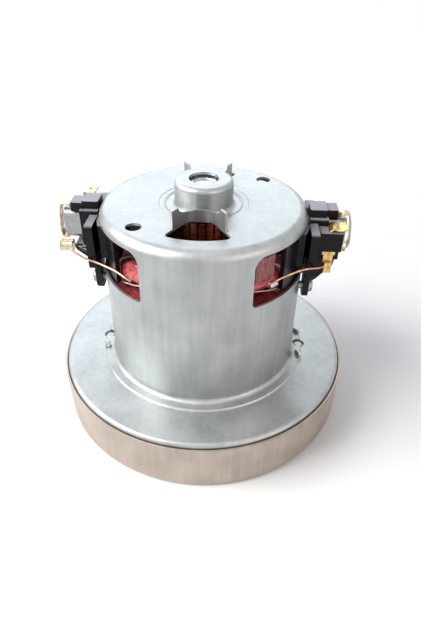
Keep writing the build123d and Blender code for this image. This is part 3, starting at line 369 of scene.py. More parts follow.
def even_shading(piece):
    """Let large faces set the normals, so that flats between roundings stay flat."""
    finish = piece.modifiers.new("even shading", "WEIGHTED_NORMAL")
    finish.keep_sharp = True
    return piece


def finish_in(piece, material):
    """Give a piece or a node of the frame its only material."""
    piece.data.materials.clear()
    piece.data.materials.append(material)


def dress(piece, material, body, node_name):
    """Give a piece its material and the body that it rides on, and hide the node that it stands for."""
    finish_in(piece, material)
    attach(piece, body)
    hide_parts(node_name)


def turned(name, outline):
    """Closed outline of (radius, height) points turned about the shaft: circle_points over all az."""
    outline = np.array(outline, float)
    az = np.arange(ROUND_STEPS)[:, None] * 360 / ROUND_STEPS
    points = circle_points(az, outline[None, :, 0], outline[None, :, 1])
    return add_piece(name, points, grid_faces(ROUND_STEPS, len(outline), True, True))


def prism_faces(count):
    """Two end faces and the quads between two rings of the same count."""
    i = np.arange(count)
    sides = np.stack((i, (i + 1) % count, (i + 1) % count + count, i + count), -1)
    return [list(i[::-1]), list(i + count)] + sides.tolist()


def prism(name, low_ring, high_ring):
    """Closed solid between two rings of points."""
    return add_piece(name, np.vstack((low_ring, high_ring)), prism_faces(len(low_ring)))


def turn_half(points):
    """The same points half round the shaft: x and y change sign."""
    return np.asarray(points) * (-1, -1, 1)


def carve(piece, tool, operation):
    """Cut a tool from a piece or join it on, in the mesh, and delete the tool."""
    step = piece.modifiers.new("carve", "BOOLEAN")
    step.operation = operation
    step.solver = "EXACT"
    step.object = tool
    bpy.context.view_layer.objects.active = piece
    bpy.ops.object.modifier_apply(modifier=step.name)
    bpy.data.objects.remove(tool)


def merged(name, pieces, shape=None):
    """Several pieces as one object, after what a shape may hold already."""
    if shape is None:
        shape = bmesh.new()
    for part in pieces:
        shape.from_mesh(part.data)
        bpy.data.objects.remove(part)
    mesh = bpy.data.meshes.new(name)
    shape.to_mesh(mesh)
    shape.free()
    made = linked(name, mesh)
    tidy_mesh(made)
    return made


def rounded_edges(piece, edge):
    """Round a piece's sharp edges by a bevel of two steps."""
    bevel = piece.modifiers.new("rounded edges", "BEVEL")
    bevel.width = edge * MM
    bevel.segments = 2
    bevel.limit_method = "ANGLE"
    bevel.angle_limit = SMOOTH_UNDER
    return even_shading(piece)


def softened(node_name, edge, extras=()):
    """A node's own mesh, its triangles merged into faces, with any extras and its edges rounded."""
    shape = bmesh.new()
    shape.from_mesh(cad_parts[node_name].data)
    bmesh.ops.remove_doubles(shape, verts=shape.verts, dist=SAME_PLACE)
    bmesh.ops.dissolve_limit(shape, angle_limit=FLAT_UNDER, verts=shape.verts, edges=shape.edges)
    return rounded_edges(merged(node_name + "_fine", extras, shape), edge)


# Housing


def housing_outline():
    """The drawn sheet's profile from the boss hole to the flange's rim."""
    moat_z, foot_z, rim_r = DISC_Z - MOAT_DEPTH, FLANGE_Z + FOOT_STEP, COVER_R - COVER_SHEET - RIM_PLAY
    points = [
        (BOSS_HOLE_R, BOSS_Z),
        (BOSS_R, BOSS_Z),
        (BOSS_R, moat_z),
        (MOAT_R, moat_z),
        (MOAT_R + MOAT_RAMP, DISC_Z - MOAT_STEP),
        (MOAT_OUTER_R, DISC_Z - MOAT_STEP),
        (MOAT_OUTER_R + MOAT_STEP, DISC_Z),
        (CAN_R, DISC_Z),
        (CAN_R, foot_z),
        (FOOT_R, foot_z),
        (FOOT_R + FOOT_STEP, FLANGE_Z),
        (rim_r, FLANGE_Z),
        (rim_r, RIM_BOTTOM_Z),
    ]
    radii = [BOSS_EDGE_R, MOAT_BEND_R, MOAT_BEND_R, MOAT_CREST_R, 0, 0, SHOULDER_R, FOOT_FILLET]
    radii += [0, STEP_BEND_R, RIM_EDGE_R]
    return thickened(rounded(points, radii), SHEET)


def lip_line():
    """Half plan of the opening's nose: an arc about its centre, then the slanted side, as x and depth."""
    slant = math.radians(LIP_HALF_ANGLE)
    centre = LIP_APEX_Y + LIP_APEX_R
    sweep = np.linspace(0, math.pi / 2 - slant, 2 * ARC_STEPS)
    arc = np.stack((LIP_APEX_R * np.sin(sweep), centre - LIP_APEX_R * np.cos(sweep)), -1)
    return arc, (math.sin(slant), math.cos(slant))


def opening_ring(z):
    """Whole outline of the front opening at a height: nose arc, sides, and an arc about the shaft, joined
    by a rounded corner that ends at the arc's point MOUTH_FROM."""
    arc, (sx, sy) = lip_line()
    x0, y0 = arc[-1]
    along = x0 * sx + y0 * sy
    reach = -along + math.sqrt(along**2 - (x0**2 + y0**2) + LIP_MOUTH_R**2)
    corner = np.array((x0 + reach * sx, y0 + reach * sy))
    limit = math.atan2(*corner)
    mouth = np.linspace(limit, 0, 2 * ARC_STEPS)
    far = np.stack((LIP_MOUTH_R * np.sin(mouth), LIP_MOUTH_R * np.cos(mouth)), -1)
    bent = rounded([arc[-1], corner, far[MOUTH_FROM]], [LIP_CORNER_R])
    half = np.vstack((arc, bent[1:-1], far[MOUTH_FROM:]))
    other = half[-2:0:-1] * (-1, 1)
    plan = np.vstack((half, other))
    return np.column_stack((plan[:, 0], -plan[:, 1], np.full(len(plan), z)))


def lip_wall():
    """Turned-up edge of the opening: a section carried along the nose and sides, its top at the lip's
    height in the middle and rising by a quarter ellipse, 1 - sqrt(1 - t^2), to a broad horn at each end."""
    arc, (sx, sy) = lip_line()
    run = (HORN_END_Y - arc[-1, 1]) / sy
    side = arc[-1] + np.linspace(0, run, 4 * ARC_STEPS)[1:, None] * (sx, sy)
    half = np.vstack((arc, side))
    plan = np.vstack((half[:0:-1] * (-1, 1), half))
    x = np.abs(plan[:, 0])
    curve = np.clip((x - HORN_X) / HORN_CURVE + 1, 0, 1)
    top = LIP_RISE + (HORN_RISE - LIP_RISE) * (1 - np.sqrt(1 - curve**2))
    ends = np.clip((run_length(plan) + LIP_EDGE) / (2 * LIP_EDGE), 0, 1)
    top = top - LIP_EDGE * (1 - ends)
    tangent = np.gradient(plan, axis=0)
    tangent /= np.linalg.norm(tangent, axis=1)[:, None]
    outward = np.stack((tangent[:, 1], -tangent[:, 0]), -1)
    bend = np.linspace(0, math.pi / 2, ARC_STEPS)
    foot_n = SHEET + LIP_FILLET * (1 - np.sin(bend))
    foot_h = LIP_FILLET * (1 - np.cos(bend)) - LIP_EDGE / 5
    edge_n = SHEET - LIP_EDGE * (1 - np.cos(bend))
    edge_h = LIP_EDGE * (np.sin(bend) - 1)
    inner_n = SHEET - LIP_EDGE - edge_n[::-1]
    n = np.concatenate(([foot_n[0]], foot_n, edge_n, inner_n, [-LIP_EDGE]))
    root = [LIP_EDGE / 3 - SHEET]
    fixed = np.concatenate((root, foot_h, edge_h, edge_h[::-1], root))
    rides = np.concatenate(([0], foot_h * 0, edge_h * 0 + 1, edge_h * 0 + 1, [0]))
    height = fixed[None] + rides[None] * top[:, None]
    flat = plan[:, None, :] + outward[:, None, :] * n[None, :, None]
    return np.concatenate((flat[..., :1], -flat[..., 1:], DISC_Z + height[..., None]), -1)


def run_length(plan):
    """Distance of each point from the nearer end of a flat line."""
    step = np.concatenate(([0], np.cumsum(np.linalg.norm(np.diff(plan, axis=0), axis=1))))
    return np.minimum(step, step[-1] - step)


def window_tool():
    """Cutter of the right window: a four-cornered section carried round the shaft, its low and high
    edges following a quarter circle at each end of the arc."""
    arc = math.radians(90 - WINDOW_AZ) * CAN_R
    along = arc * np.sin(np.linspace(-1, 1, 12 * ARC_STEPS) * math.pi / 2)
    past_top = np.clip(np.abs(along) - arc + WINDOW_TOP_R, 0, WINDOW_TOP_R)
    past_low = np.clip(np.abs(along) - arc + WINDOW_BOTTOM_R, 0, WINDOW_BOTTOM_R)
    high = WINDOW_TOP_Z - WINDOW_TOP_R + np.sqrt(WINDOW_TOP_R**2 - past_top**2)
    low = WINDOW_Z + WINDOW_BOTTOM_R - np.sqrt(WINDOW_BOTTOM_R**2 - past_low**2)
    r = np.array((CAN_R - OVERRUN, CAN_R + OVERRUN, CAN_R + OVERRUN, CAN_R - OVERRUN))
    z = np.stack((low, low, high, high), -1)
    points = circle_points((90 + np.degrees(along / CAN_R))[:, None], r[None, :], z)
    return points, capped_grid(*z.shape)


def capped_grid(rows, columns):
    """Faces of a closed section carried along an open path, with a cap at each end."""
    last = (rows - 1) * columns
    caps = [list(range(columns))[::-1], list(range(last, last + columns))]
    return grid_faces(rows, columns, False, True).tolist() + caps


def round_hole(at, axis, radius):
    """Two rings of a drill of a given radius through a point, along an axis."""
    axis = np.array(axis, float)
    across = np.cross(axis, (axis[1], axis[2], axis[0]))
    across /= np.linalg.norm(across)
    other = np.cross(axis, across)
    t = np.linspace(0, 2 * math.pi, HOLE_STEPS, endpoint=False)[:, None]
    ring = np.array(at) + radius * (np.cos(t) * across + np.sin(t) * other)
    return ring - OVERRUN * axis, ring + OVERRUN * axis


def lug_hole(az):
    """Two rings of a rectangular slot in the flange for one bracket lug."""
    u, v = LUG_SLOT[0] / 2, LUG_SLOT[1] / 2
    flat = np.array([(-u, -v), (u, -v), (u, v), (-u, v)])
    a = math.radians(az - 90)
    spin = np.array(((math.cos(a), -math.sin(a)), (math.sin(a), math.cos(a))))
    flat = (flat + (FIX_AT_R, 0)) @ spin.T
    return [np.column_stack((flat, np.full(4, FLANGE_Z + side * OVERRUN))) for side in (-1, 1)]


def motor_housing():
    """The drawn can with its turned-up lips, windows and holes."""
    can = turned("motor_housing_fine", housing_outline())
    lips = lip_wall()
    lip_faces = capped_grid(*lips.shape[:2])
    window, window_faces = window_tool()
    cuts = [(opening_ring(DISC_Z - OVERRUN), opening_ring(DISC_Z + 2 * OVERRUN))]
    cuts.append(round_hole((DISC_HOLE_AT, DISC_HOLE_AT, DISC_Z), (0, 0, 1), DISC_HOLE_R))
    cuts.append(round_hole((FIX_AT_R, 0, FLANGE_Z), (0, 0, 1), FIX_HOLE_R))
    cuts += [round_hole((CAN_R, side * EAR_AT_V, EAR_SCREW_Z), (1, 0, 0), EAR_HOLE_R) for side in (-1, 1)]
    cuts += [lug_hole(90 + side * LUG_AZ) for side in (-1, 1)]
    for move in (np.asarray, turn_half):
        carve(can, add_piece("lip", move(lips), lip_faces), "UNION")
        tools = [add_piece("tool", move(window), window_faces)]
        tools += [prism("tool", move(low), move(high)) for low, high in cuts]
        for tool in tools:
            carve(can, tool, "DIFFERENCE")
    tidy_mesh(can)
    return even_shading(can)


def fan_cover():
    """Cup with its inlet rolled inwards and its top edge open under the flange."""
    points = [(INLET_R, INLET_LIP_Z), (INLET_R, 0), (COVER_R, 0), (COVER_R, COVER_TOP_Z)]
    line = rounded(points, [INLET_ROLL_R, COVER_CORNER_R])
    return even_shading(turned("fan_cover_fine", thickened(line, -COVER_SHEET)))


# Coils


def wired(count, samples):
    """Depth of a layer of round wires lying side by side: 1 - sqrt(1 - x^2) across each wire."""
    x = (np.arange(count * samples) % samples + 0.5) / samples * 2 - 1
    return 1 - np.sqrt(1 - x**2)


def coil_points():
    """Front coil: round its pole goes a rounded rectangle in (arc length, height); across it goes a
    rounded rectangle whose outline is dented between wires. The bundle is thin in the slots, where
    the core holds it, and thick where it comes out and crosses the pole."""
    half_out = math.radians(COIL_AZ_OUT) * COIL_MID_R
    half_in = math.radians(COIL_AZ_IN) * COIL_MID_R
    loop_out = rounded_loop(half_out, COIL_LOW_Z, COIL_TOP_Z, COIL_CORNER)
    loop_in = rounded_loop(half_in, *COIL_INNER_Z, COIL_CORNER / 4)
    t = np.arange(WIRES_ROUND * WIRE_SAMPLES) / (WIRES_ROUND * WIRE_SAMPLES) * 2 * math.pi
    w = np.sign(np.cos(t)) * np.abs(np.cos(t)) ** COIL_SQUARENESS
    h = np.sign(np.sin(t)) * np.abs(np.sin(t)) ** COIL_SQUARENESS
    shrink = 1 - wired(WIRES_ROUND, WIRE_SAMPLES) * WIRE / COIL_LEG_R[0] * WIRE_DENT
    w, h = w * shrink / 2 + 0.5, h * shrink / 2 + 0.5
    flat = loop_in[:, None, :] + (loop_out - loop_in)[:, None, :] * w[None, :, None]
    az = np.degrees(flat[..., 0] / COIL_MID_R)
    z = flat[..., 1]
    out_of_core = smooth((np.abs(z - (CORE_Z + CORE_TOP_Z) / 2) - (CORE_TOP_Z - CORE_Z) / 2) / COIL_TUCK)
    over_pole = smooth((COIL_AZ_IN + COIL_EASE_AZ - np.abs(az)) / COIL_TUCK)
    r_in = COIL_LEG_R[0] + (COIL_HEAD_R[0] - COIL_LEG_R[0]) * over_pole * out_of_core
    r_out = COIL_LEG_R[1] + (COIL_HEAD_R[1] - COIL_LEG_R[1]) * out_of_core
    return circle_points(az, r_in + (r_out - r_in) * h[None, :], z)


def smooth(x):
    """Smooth step 3x^2 - 2x^3 between 0 and 1."""
    x = np.clip(x, 0, 1)
    return x * x * (3 - 2 * x)


def rounded_loop(half, low, high, corner):
    """Rounded rectangle about the pole, as COIL_STEPS points at even angles seen from its middle."""
    middle = (low + high) / 2
    tall = (high - low) / 2
    a = np.arange(COIL_STEPS) / COIL_STEPS * 2 * math.pi
    corners = [(0, -tall), (half, -tall), (half, tall), (-half, tall), (-half, -tall), (0, -tall)]
    outline = rounded(corners, [corner] * 4)
    at = np.unwrap(np.arctan2(outline[:, 1], outline[:, 0]))
    want = a + at[0]
    return np.stack((np.interp(want, at, outline[:, 0]), middle + np.interp(want, at, outline[:, 1])), -1)


def field_coil(side):
    """One coil bundle on its pole."""
    points = coil_points()
    faces = grid_faces(points.shape[0], points.shape[1], True, True)
    return add_piece("field_coil_" + side + "_fine", points if side == "front" else turn_half(points), faces)


def lacing_band(az, extra):
    """Round cord tied over a coil head: a circle carried round a rounded rectangle in the plane of az."""
    r0, r1 = COIL_HEAD_R[0] - LACE_R / 2, COIL_HEAD_R[1] + LACE_R / 2
    z0, z1 = COIL_INNER_Z[1] - LACE_R / 2, COIL_TOP_Z + LACE_R / 2
    mid = (r0 + r1) / 2
    corners = [(mid, z0), (r1, z0), (r1, z1), (r0, z1), (r0, z0), (mid, z0)]
    line = rounded(corners, [LACE_CORNER_R] * 4)[:-1]
    step = np.roll(line, -1, axis=0) - np.roll(line, 1, axis=0)
    step /= np.linalg.norm(step, axis=1)[:, None]
    normal = np.stack((step[:, 1], -step[:, 0]), -1)
    t = np.linspace(0, 2 * math.pi, CORD_STEPS, endpoint=False)
    flat = line[:, None, :] + LACE_R * np.cos(t)[None, :, None] * normal[:, None, :]
    aside = np.degrees((extra + LACE_R * np.sin(t)) / COIL_HEAD_R[1])
    points = circle_points(az + aside[None, :], flat[..., 0], flat[..., 1])
    return points, grid_faces(len(line), len(t), True, True)


def running_cord(turn, side):
    """Cord lying on the coil's outer face from one tie to the next: a circle carried along a falling
    line r = constant, z = z0 + (z1 - z0) t, az = az0 + (az1 - az0) t."""
    t = np.linspace(0, 1, ARC_STEPS)[:, None]
    around_cord = np.linspace(0, 2 * math.pi, CORD_STEPS, endpoint=False)[None, :]
    az = turn + side * (RUNNING_CORD_AZ[0] + (RUNNING_CORD_AZ[1] - RUNNING_CORD_AZ[0]) * t)
    z = RUNNING_CORD_Z[0] + (RUNNING_CORD_Z[1] - RUNNING_CORD_Z[0]) * t + LACE_R * np.sin(around_cord)
    points = circle_points(az, COIL_HEAD_R[1] + LACE_R * np.cos(around_cord), z)
    return points, capped_grid(*points.shape[:2])


def insulation_boards():
    """Four curved boards on the coils: a flat section carried round the shaft over a few degrees."""
    boards = []
    for turn in (FRONT, BACK):
        for side in (-1, 1):
            (r0, r1), (z0, z1) = BOARD_R[side], BOARD_Z[side]
            section = np.array([(r0, z0), (r1, z0), (r1, z1), (r0, z1)])
            az = turn + side * np.linspace(*BOARD_AZ, ARC_STEPS)[:, None]
            points = circle_points(az, section[None, :, 0], section[None, :, 1])
            boards.append(add_piece("board", points, capped_grid(*points.shape[:2])))
    return merged("coil_insulation_plates_fine", boards)


def coil_lacing():
    """Waxed cord round the upper heads of both coils, some turns side by side at each place."""
    bands = []
    for turn in (FRONT, BACK):
        for side in (-1, 1):
            for place in LACE_AZ:
                for k in range(LACE_TURNS):
                    extra = (k - (LACE_TURNS - 1) / 2) * 2 * LACE_R
                    bands.append(add_piece("band", *lacing_band(turn + side * place, extra)))
            bands.append(add_piece("run", *running_cord(turn, side)))
    return merged("coil_lacing_fine", bands)


def lead_wire(name, route, turn):
    """Enamelled wire along its route as one smooth open spline with a round section."""
    curve = bpy.data.curves.new(name, "CURVE")
    curve.dimensions = "3D"
    spline = curve.splines.new("NURBS")
    spline.points.add(len(route) - 1)
    points = np.array(route) if turn == FRONT else turn_half(route)
    for point, place in zip(spline.points, points * MM):
        point.co = (*place, 1)
    spline.order_u = 3
    spline.use_endpoint_u = True
    spline.resolution_u = LEAD_STEPS
    curve.bevel_depth = LEAD_R * MM
    curve.bevel_resolution = LEAD_ROUNDING
    curve.use_fill_caps = True
    return linked(name, curve)


# Brush gear


def block(low, high):
    """Four-sided prism between two corners."""
    (u0, v0, z0), (u1, v1, z1) = low, high
    flat = np.array([(u0, v0), (u1, v0), (u1, v1), (u0, v1)])
    return prism("block", *(np.column_stack((flat, np.full(4, z))) for z in (z0, z1)))


def upright_plate(outline, v0, v1):
    """Prism across the holder whose outline is in (u, z)."""
    outline = np.array(outline, float)
    across = (np.full(len(outline), v) for v in (v0, v1))
    return prism("plate", *(np.column_stack((outline[:, 0], v, outline[:, 1])) for v in across))


def bent_strip(line, bends, sheet, v0, v1):
    """Strip of sheet: a line in (u, z) with rounded bends, given its thickness, carried across."""
    return upright_plate(thickened(rounded(line, bends), sheet), v0, v1)


def crimp_barrel(start, end, radius, dent_towards):
    """Folded crimp: a circle dented on one side by exp(-(t/w)^2), carried along with widened mouths."""
    start, end = np.array(start, float), np.array(end, float)
    along = (end - start) / np.linalg.norm(end - start)
    side = np.array(dent_towards, float)
    other = np.cross(along, side)
    t = np.linspace(-math.pi, math.pi, HOLE_STEPS, endpoint=False)[None, :, None]
    reach = radius * (1 - CRIMP_DENT * np.exp(-(t / CRIMP_DENT) ** 2))
    s = np.linspace(0, 1, 2 * ARC_STEPS)[:, None, None]
    mouth = 1 + CRIMP_MOUTH * np.abs(2 * s - 1) ** CRIMP_FLARE - CRIMP_MOUTH / 2
    points = start + (end - start) * s + reach * mouth * (np.cos(t) * side + np.sin(t) * other)
    return add_piece("crimp", points, capped_grid(*points.shape[:2]))


def half_turned(piece):
    """The same piece on the other side of the shaft."""
    piece.data.transform(Matrix.Rotation(math.pi, 4, "Z"))
    return piece


def placed(name, pieces, side, edge):
    """Pieces worked out for the right side as one object on its own side, their edges rounded."""
    made = merged(name, pieces)
    if side == "left":
        half_turned(made)
    return rounded_edges(made, edge)


def rounded_section(half, radius):
    """Closed rounded rectangle in (v, z) about the brush's middle."""
    v, z = half
    corners = [(v, 0), (v, z), (-v, z), (-v, -z), (v, -z), (v, 0)]
    return rounded(corners, [radius] * 4)[:-1]


def brush_tube(side):
    """Drawn tube: an outer and an inner rounded rectangle carried along u, joined round both ends."""
    v, z = TUBE_HALF
    outer = rounded_section(TUBE_HALF, TUBE_OUTER_R)
    shy = rounded_section((v - TUBE_EDGE, z - TUBE_EDGE), TUBE_OUTER_R)
    inner = rounded_section(TUBE_BORE, TUBE_INNER_R)
    u0, u1 = TUBE_U
    rings = [(u0, shy), (u0 + TUBE_EDGE, outer), (u1 - TUBE_EDGE, outer), (u1, shy), (u1, inner), (u0, inner)]
    points = [np.column_stack((np.full(len(ring), u), ring[:, 0], BRUSH_Z + ring[:, 1])) for u, ring in rings]
    piece = add_piece("brush_tube_" + side + "_fine", points, grid_faces(len(rings), len(outer), True, True))
    return even_shading(half_turned(piece) if side == "left" else piece)


def brush_end_clip(side):
    """Thin strip bowed over the tube's end, with a crimp at its foot."""
    strip = bent_strip(CLIP_LINE, CLIP_BENDS, CLIP_SHEET, -CLIP_HALF, CLIP_HALF)
    v, z = CRIMP_AT
    barrel = crimp_barrel((CRIMP_U[0], v, z), (CRIMP_U[1], v, z), CRIMP_R, (0, 0, 1))
    return placed("brush_end_clip_" + side + "_fine", [strip, barrel], side, CLIP_SHEET / 4)


def holder_extras(side):
    """What the photograph shows on each holder beyond the plain solid: cap block, shelf and webs."""
    web = WEB_LEFT if side == "left" else WEB_RIGHT
    extras = [block(*CAP_BLOCK), upright_plate(web, *WEB_V), upright_plate(web, -WEB_V[1], -WEB_V[0])]
    if side == "right":
        return extras + [block(*SIDE_BLOCK)]
    shelf = prism("shelf", *(np.column_stack((SHELF, np.full(len(SHELF), z))) for z in SHELF_Z))
    return [half_turned(piece) for piece in extras + [shelf, block(*SHELF_BLOCK)]]


def mains_terminal_right():
    """Bent tongue on the block, with the strip that hangs from it folded to a crimp."""
    tongue = bent_strip(TONGUE_LINE, TONGUE_BENDS, TERMINAL_SHEET, *TONGUE_V)
    u, v = HANGING_CRIMP_AT
    barrel = crimp_barrel(*((u, v, z) for z in HANGING_CRIMP_Z), HANGING_CRIMP_R, (0, -1, 0))
    pieces = [tongue, block(*FOLD), block(*HANGING_STRIP), barrel]
    return placed("mains_terminal_right_fine", pieces, "right", TERMINAL_SHEET / 4)


# Rotor and bearings


def ring_outline(r_in, r_out, z0, z1, edge):
    """Rectangle of a ring with its four corners cut at 45 degrees."""
    return [
        (r_in + edge, z0), (r_out - edge, z0), (r_out, z0 + edge), (r_out, z1 - edge),
        (r_out - edge, z1), (r_in + edge, z1), (r_in, z1 - edge), (r_in, z0 + edge),
    ]


def bearing_ring(node_name, outer):
    """Ground ring with its edges broken."""
    z0, z1 = (corner[2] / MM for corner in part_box(node_name))
    r_in = BEARING_R - BEARING_LAND[1] if outer else SHAFT_R
    r_out = BEARING_R if outer else SHAFT_R + BEARING_LAND[0]
    return turned(node_name + "_fine", ring_outline(r_in, r_out, z0, z1, BEARING_EDGE))


def armature_winding():
    """Wound heads of the armature: a rounded ring whose surface swells with each slot's bundle and
    twists as it goes inwards; depth times |sin| of the slot angle plus the twist."""
    heads = []
    z_low, z_high = CORE_Z - ARMATURE_HEAD, CORE_TOP_Z + ARMATURE_HEAD
    r_in, r_out = ARMATURE_HEAD_R
    for near, far in ((CORE_Z, z_low), (CORE_TOP_Z, z_high)):
        corners = [(r_in, near), (r_out, near), (r_out, far), (r_in, far), (r_in, near)]
        outline = rounded(corners, ARMATURE_HEAD_BENDS)[:-1]
        az = np.arange(2 * ROUND_STEPS)[:, None] * 180 / ROUND_STEPS
        r, z = outline[None, :, 0], outline[None, :, 1]
        twist = (r_out - r) / r_out * ARMATURE_HEAD_TWIST
        swell = np.abs(np.sin(np.radians(ARMATURE_SLOTS / 2 * (az + twist))))
        away = np.abs(z - near) / ARMATURE_HEAD
        lower = STRAND_DEPTH * (1 - swell) * away
        points = circle_points(az, r - lower, z + np.sign(near - far) * lower)
        heads.append(add_piece("head", points, grid_faces(2 * ROUND_STEPS, len(outline), True, True)))
    return merged("armature_winding_fine", heads)


def impeller_front_plate():
    """Dished plate with its eye turned down."""
    points = [(FAN_EYE_R, FAN_EYE_LIP_Z), (FAN_EYE_R, FAN_EYE_Z), (FAN_R, FAN_RIM_Z)]
    sheet = thickened(rounded(points, [FAN_EYE_ROLL_R]), FAN_SHROUD)
    return even_shading(turned("impeller_front_plate_fine", sheet))


# Materials


def linear(code):
    """An sRGB hex colour as linear values with alpha."""
    parts = [int(code[i:i + 2], 16) / 255 for i in (1, 3, 5)]
    return [c / 12.92 if c <= 0.04045 else ((c + 0.055) / 1.055) ** 2.4 for c in parts] + [1.0]


def node(tree, kind, links=None, **settings):
    """Add one shader node with its settings; links holds a value or another node's output per input."""
    made = tree.nodes.new("ShaderNode" + kind)
    for name, value in settings.items():
        setattr(made, name, value)
    for socket, value in (links or {}).items():
        if isinstance(value, bpy.types.NodeSocket):
            tree.links.new(value, made.inputs[socket])
        else:
            made.inputs[socket].default_value = value
    return made


def start_material(name):
    """An empty material with its shader and the object's own coordinates in millimetres."""
    made = bpy.data.materials.new(name)
    made.use_nodes = True
    tree = made.node_tree
    place = node(tree, "TexCoord").outputs["Object"]
    millimetres = node(tree, "VectorMath", {0: place, 3: 1 / MM}, operation="SCALE").outputs[0]
    return made, tree, tree.nodes["Principled BSDF"], millimetres


def patches(tree, place, size, stretch=(1, 1, 1), detail=3.0):
    """Soft patches about size millimetres across, longer where stretch is more than one."""
    squeezed = node(tree, "Mapping", {"Vector": place, "Scale": [1 / (size * s) for s in stretch]}).outputs[0]
    return node(tree, "TexNoise", {"Vector": squeezed, "Scale": 1.0, "Detail": detail}).outputs["Fac"]


def between(tree, amount, low, high, start=PATTERN_RANGE[0], end=PATTERN_RANGE[1]):
    """Colour from low to high as an amount goes from start to end."""
    ramp = node(tree, "ValToRGB", {"Fac": amount})
    ramp.color_ramp.elements[0].position, ramp.color_ramp.elements[1].position = start, end
    ramp.color_ramp.elements[0].color, ramp.color_ramp.elements[1].color = linear(low), linear(high)
    return ramp.outputs["Color"]


def ranged(tree, amount, low, high):
    """Number from low to high as an amount goes through the usual range of a pattern."""
    start, end = PATTERN_RANGE
    links = {"Value": amount, "From Min": start, "From Max": end, "To Min": low, "To Max": high}
    return node(tree, "MapRange", links).outputs["Result"]


def finish_shader(tree, shader, colour, roughness, height, depth, metallic):
    """Link colour, roughness and a bump whose height is depth millimetres."""
    tree.links.new(colour, shader.inputs["Base Color"])
    tree.links.new(roughness, shader.inputs["Roughness"])
    bump = node(tree, "Bump", {"Height": height, "Distance": depth * MM, "Strength": 1.0})
    tree.links.new(bump.outputs["Normal"], shader.inputs["Normal"])
    shader.inputs["Metallic"].default_value = metallic


def zinc_plated_steel(name, low, high, rough):
    """Zinc-plated drawn steel: satin pale metal with faint streaks up the wall and cloudy plating."""
    made, tree, shader, place = start_material(name)
    streak_size, cloud_size, grain_size, relief = ZINC_PATTERN
    streaks = patches(tree, place, streak_size, (1, 1, 14), 4.0)
    clouds = patches(tree, place, cloud_size, detail=5.0)
    both = node(tree, "Mix", {0: 0.3, 2: clouds, 3: streaks}).outputs[0]
    colour = between(tree, both, low, high, 0.36, 0.62)
    grain = patches(tree, place, grain_size, (1, 1, 4))
    roughness = ranged(tree, clouds, rough - 0.04, rough + 0.06)
    finish_shader(tree, shader, colour, roughness, grain, relief, 0.85)
    return made


def ground_bearing_steel():
    """Ground bearing steel: bright, with fine turning rings about the shaft."""
    made, tree, shader, place = start_material("ground_bearing_steel")
    cloud_size, relief = BEARING_PATTERN
    clouds = patches(tree, place, cloud_size)
    colour = between(tree, clouds, "#b9bcc0", "#dfe1e4")
    rings = node(tree, "TexWave", {"Vector": place, "Scale": 0.8}, wave_type="RINGS", rings_direction="Z")
    finish_shader(tree, shader, colour, ranged(tree, clouds, 0.2, 0.32), rings.outputs["Fac"], relief, 1.0)
    return made


def moulded_phenolic():
    """Black glass-filled moulding: satin, with faint flow marks and a painted pale highlight on what faces
    up.
    """
    made, tree, shader, place = start_material("moulded_phenolic")
    flow_size, grain_size, relief = MOULDING_PATTERN
    flow = patches(tree, place, flow_size, (1, 1, 2.5), 4.0)
    black = between(tree, flow, "#080709", "#171516")
    # Faces turned upwards are painted paler: a painted highlight standing for the reflection on top faces.
    facing = node(tree, "NewGeometry").outputs["Normal"]
    upwards = node(tree, "SeparateXYZ", {0: facing}).outputs["Z"]
    links = {"Value": upwards, "From Min": 0.6, "From Max": 1.0, "To Max": 0.6}
    upward_highlight_amount = node(tree, "MapRange", links).outputs["Result"]
    painted_top_highlight = node(tree, "Mix", {0: upward_highlight_amount, 6: black, 7: linear("#a5a3aa")}, data_type="RGBA")
    grain = patches(tree, place, grain_size)
    finish_shader(tree, shader, painted_top_highlight.outputs[2], ranged(tree, flow, 0.24, 0.4), grain, relief, 0.0)
    shader.inputs["Specular IOR Level"].default_value = 0.2
    return made


def stamped_strip(name, low, high, metallic):
    """Stamped strip of brass or copper, bare or tinned: drawn grain and a little tarnish."""
    made, tree, shader, place = start_material(name)
    tarnish_size, grain_size, relief = STRIP_PATTERN
    tarnish = patches(tree, place, tarnish_size, detail=5.0)
    grain = patches(tree, place, grain_size, (6, 1, 1))
    colour = between(tree, tarnish, low, high)
    finish_shader(tree, shader, colour, ranged(tree, tarnish, 0.42, 0.26), grain, relief, metallic)
    return made


def drawn_copper():
    """Drawn copper wire under clear enamel: pink-brown with bright places."""
    made, tree, shader, place = start_material("drawn_copper")
    tone_size, relief = WIRE_PATTERN
    tone = patches(tree, place, tone_size, detail=4.0)
    colour = between(tree, tone, "#b9745c", "#ecbda4")
    finish_shader(tree, shader, colour, ranged(tree, tone, 0.38, 0.22), tone, relief, 1.0)
    shader.inputs["Coat Weight"].default_value = 0.3
    return made


def turned_copper_bars():
    """Commutator copper: turned, burnished dark brown where the brushes run."""
    made, tree, shader, place = start_material("turned_copper_bars")
    tone_size, ring_size, relief = BAR_PATTERN
    tone = patches(tree, place, tone_size, (3, 3, 0.4), 4.0)
    colour = between(tree, tone, "#7d4433", "#d29a80")
    rings = patches(tree, place, ring_size, (20, 20, 0.5))
    finish_shader(tree, shader, colour, ranged(tree, tone, 0.42, 0.3), rings, relief, 1.0)
    return made


def varnished_windings():
    """Magnet wire soaked in red insulating varnish: deep red, wet in the hollows, copper on the crests."""
    made, tree, shader, place = start_material("varnished_windings")
    tone_size, blob_size, relief = WINDING_PATTERN
    tone = patches(tree, place, tone_size, detail=6.0)
    colour = between(tree, tone, "#98262c", "#dc6f73")
    blobs = patches(tree, place, blob_size)
    finish_shader(tree, shader, colour, ranged(tree, tone, 0.25, 0.5), blobs, relief, 0.25)
    shader.inputs["Coat Weight"].default_value = 0.5
    shader.inputs["Coat Roughness"].default_value = 0.2
    return made


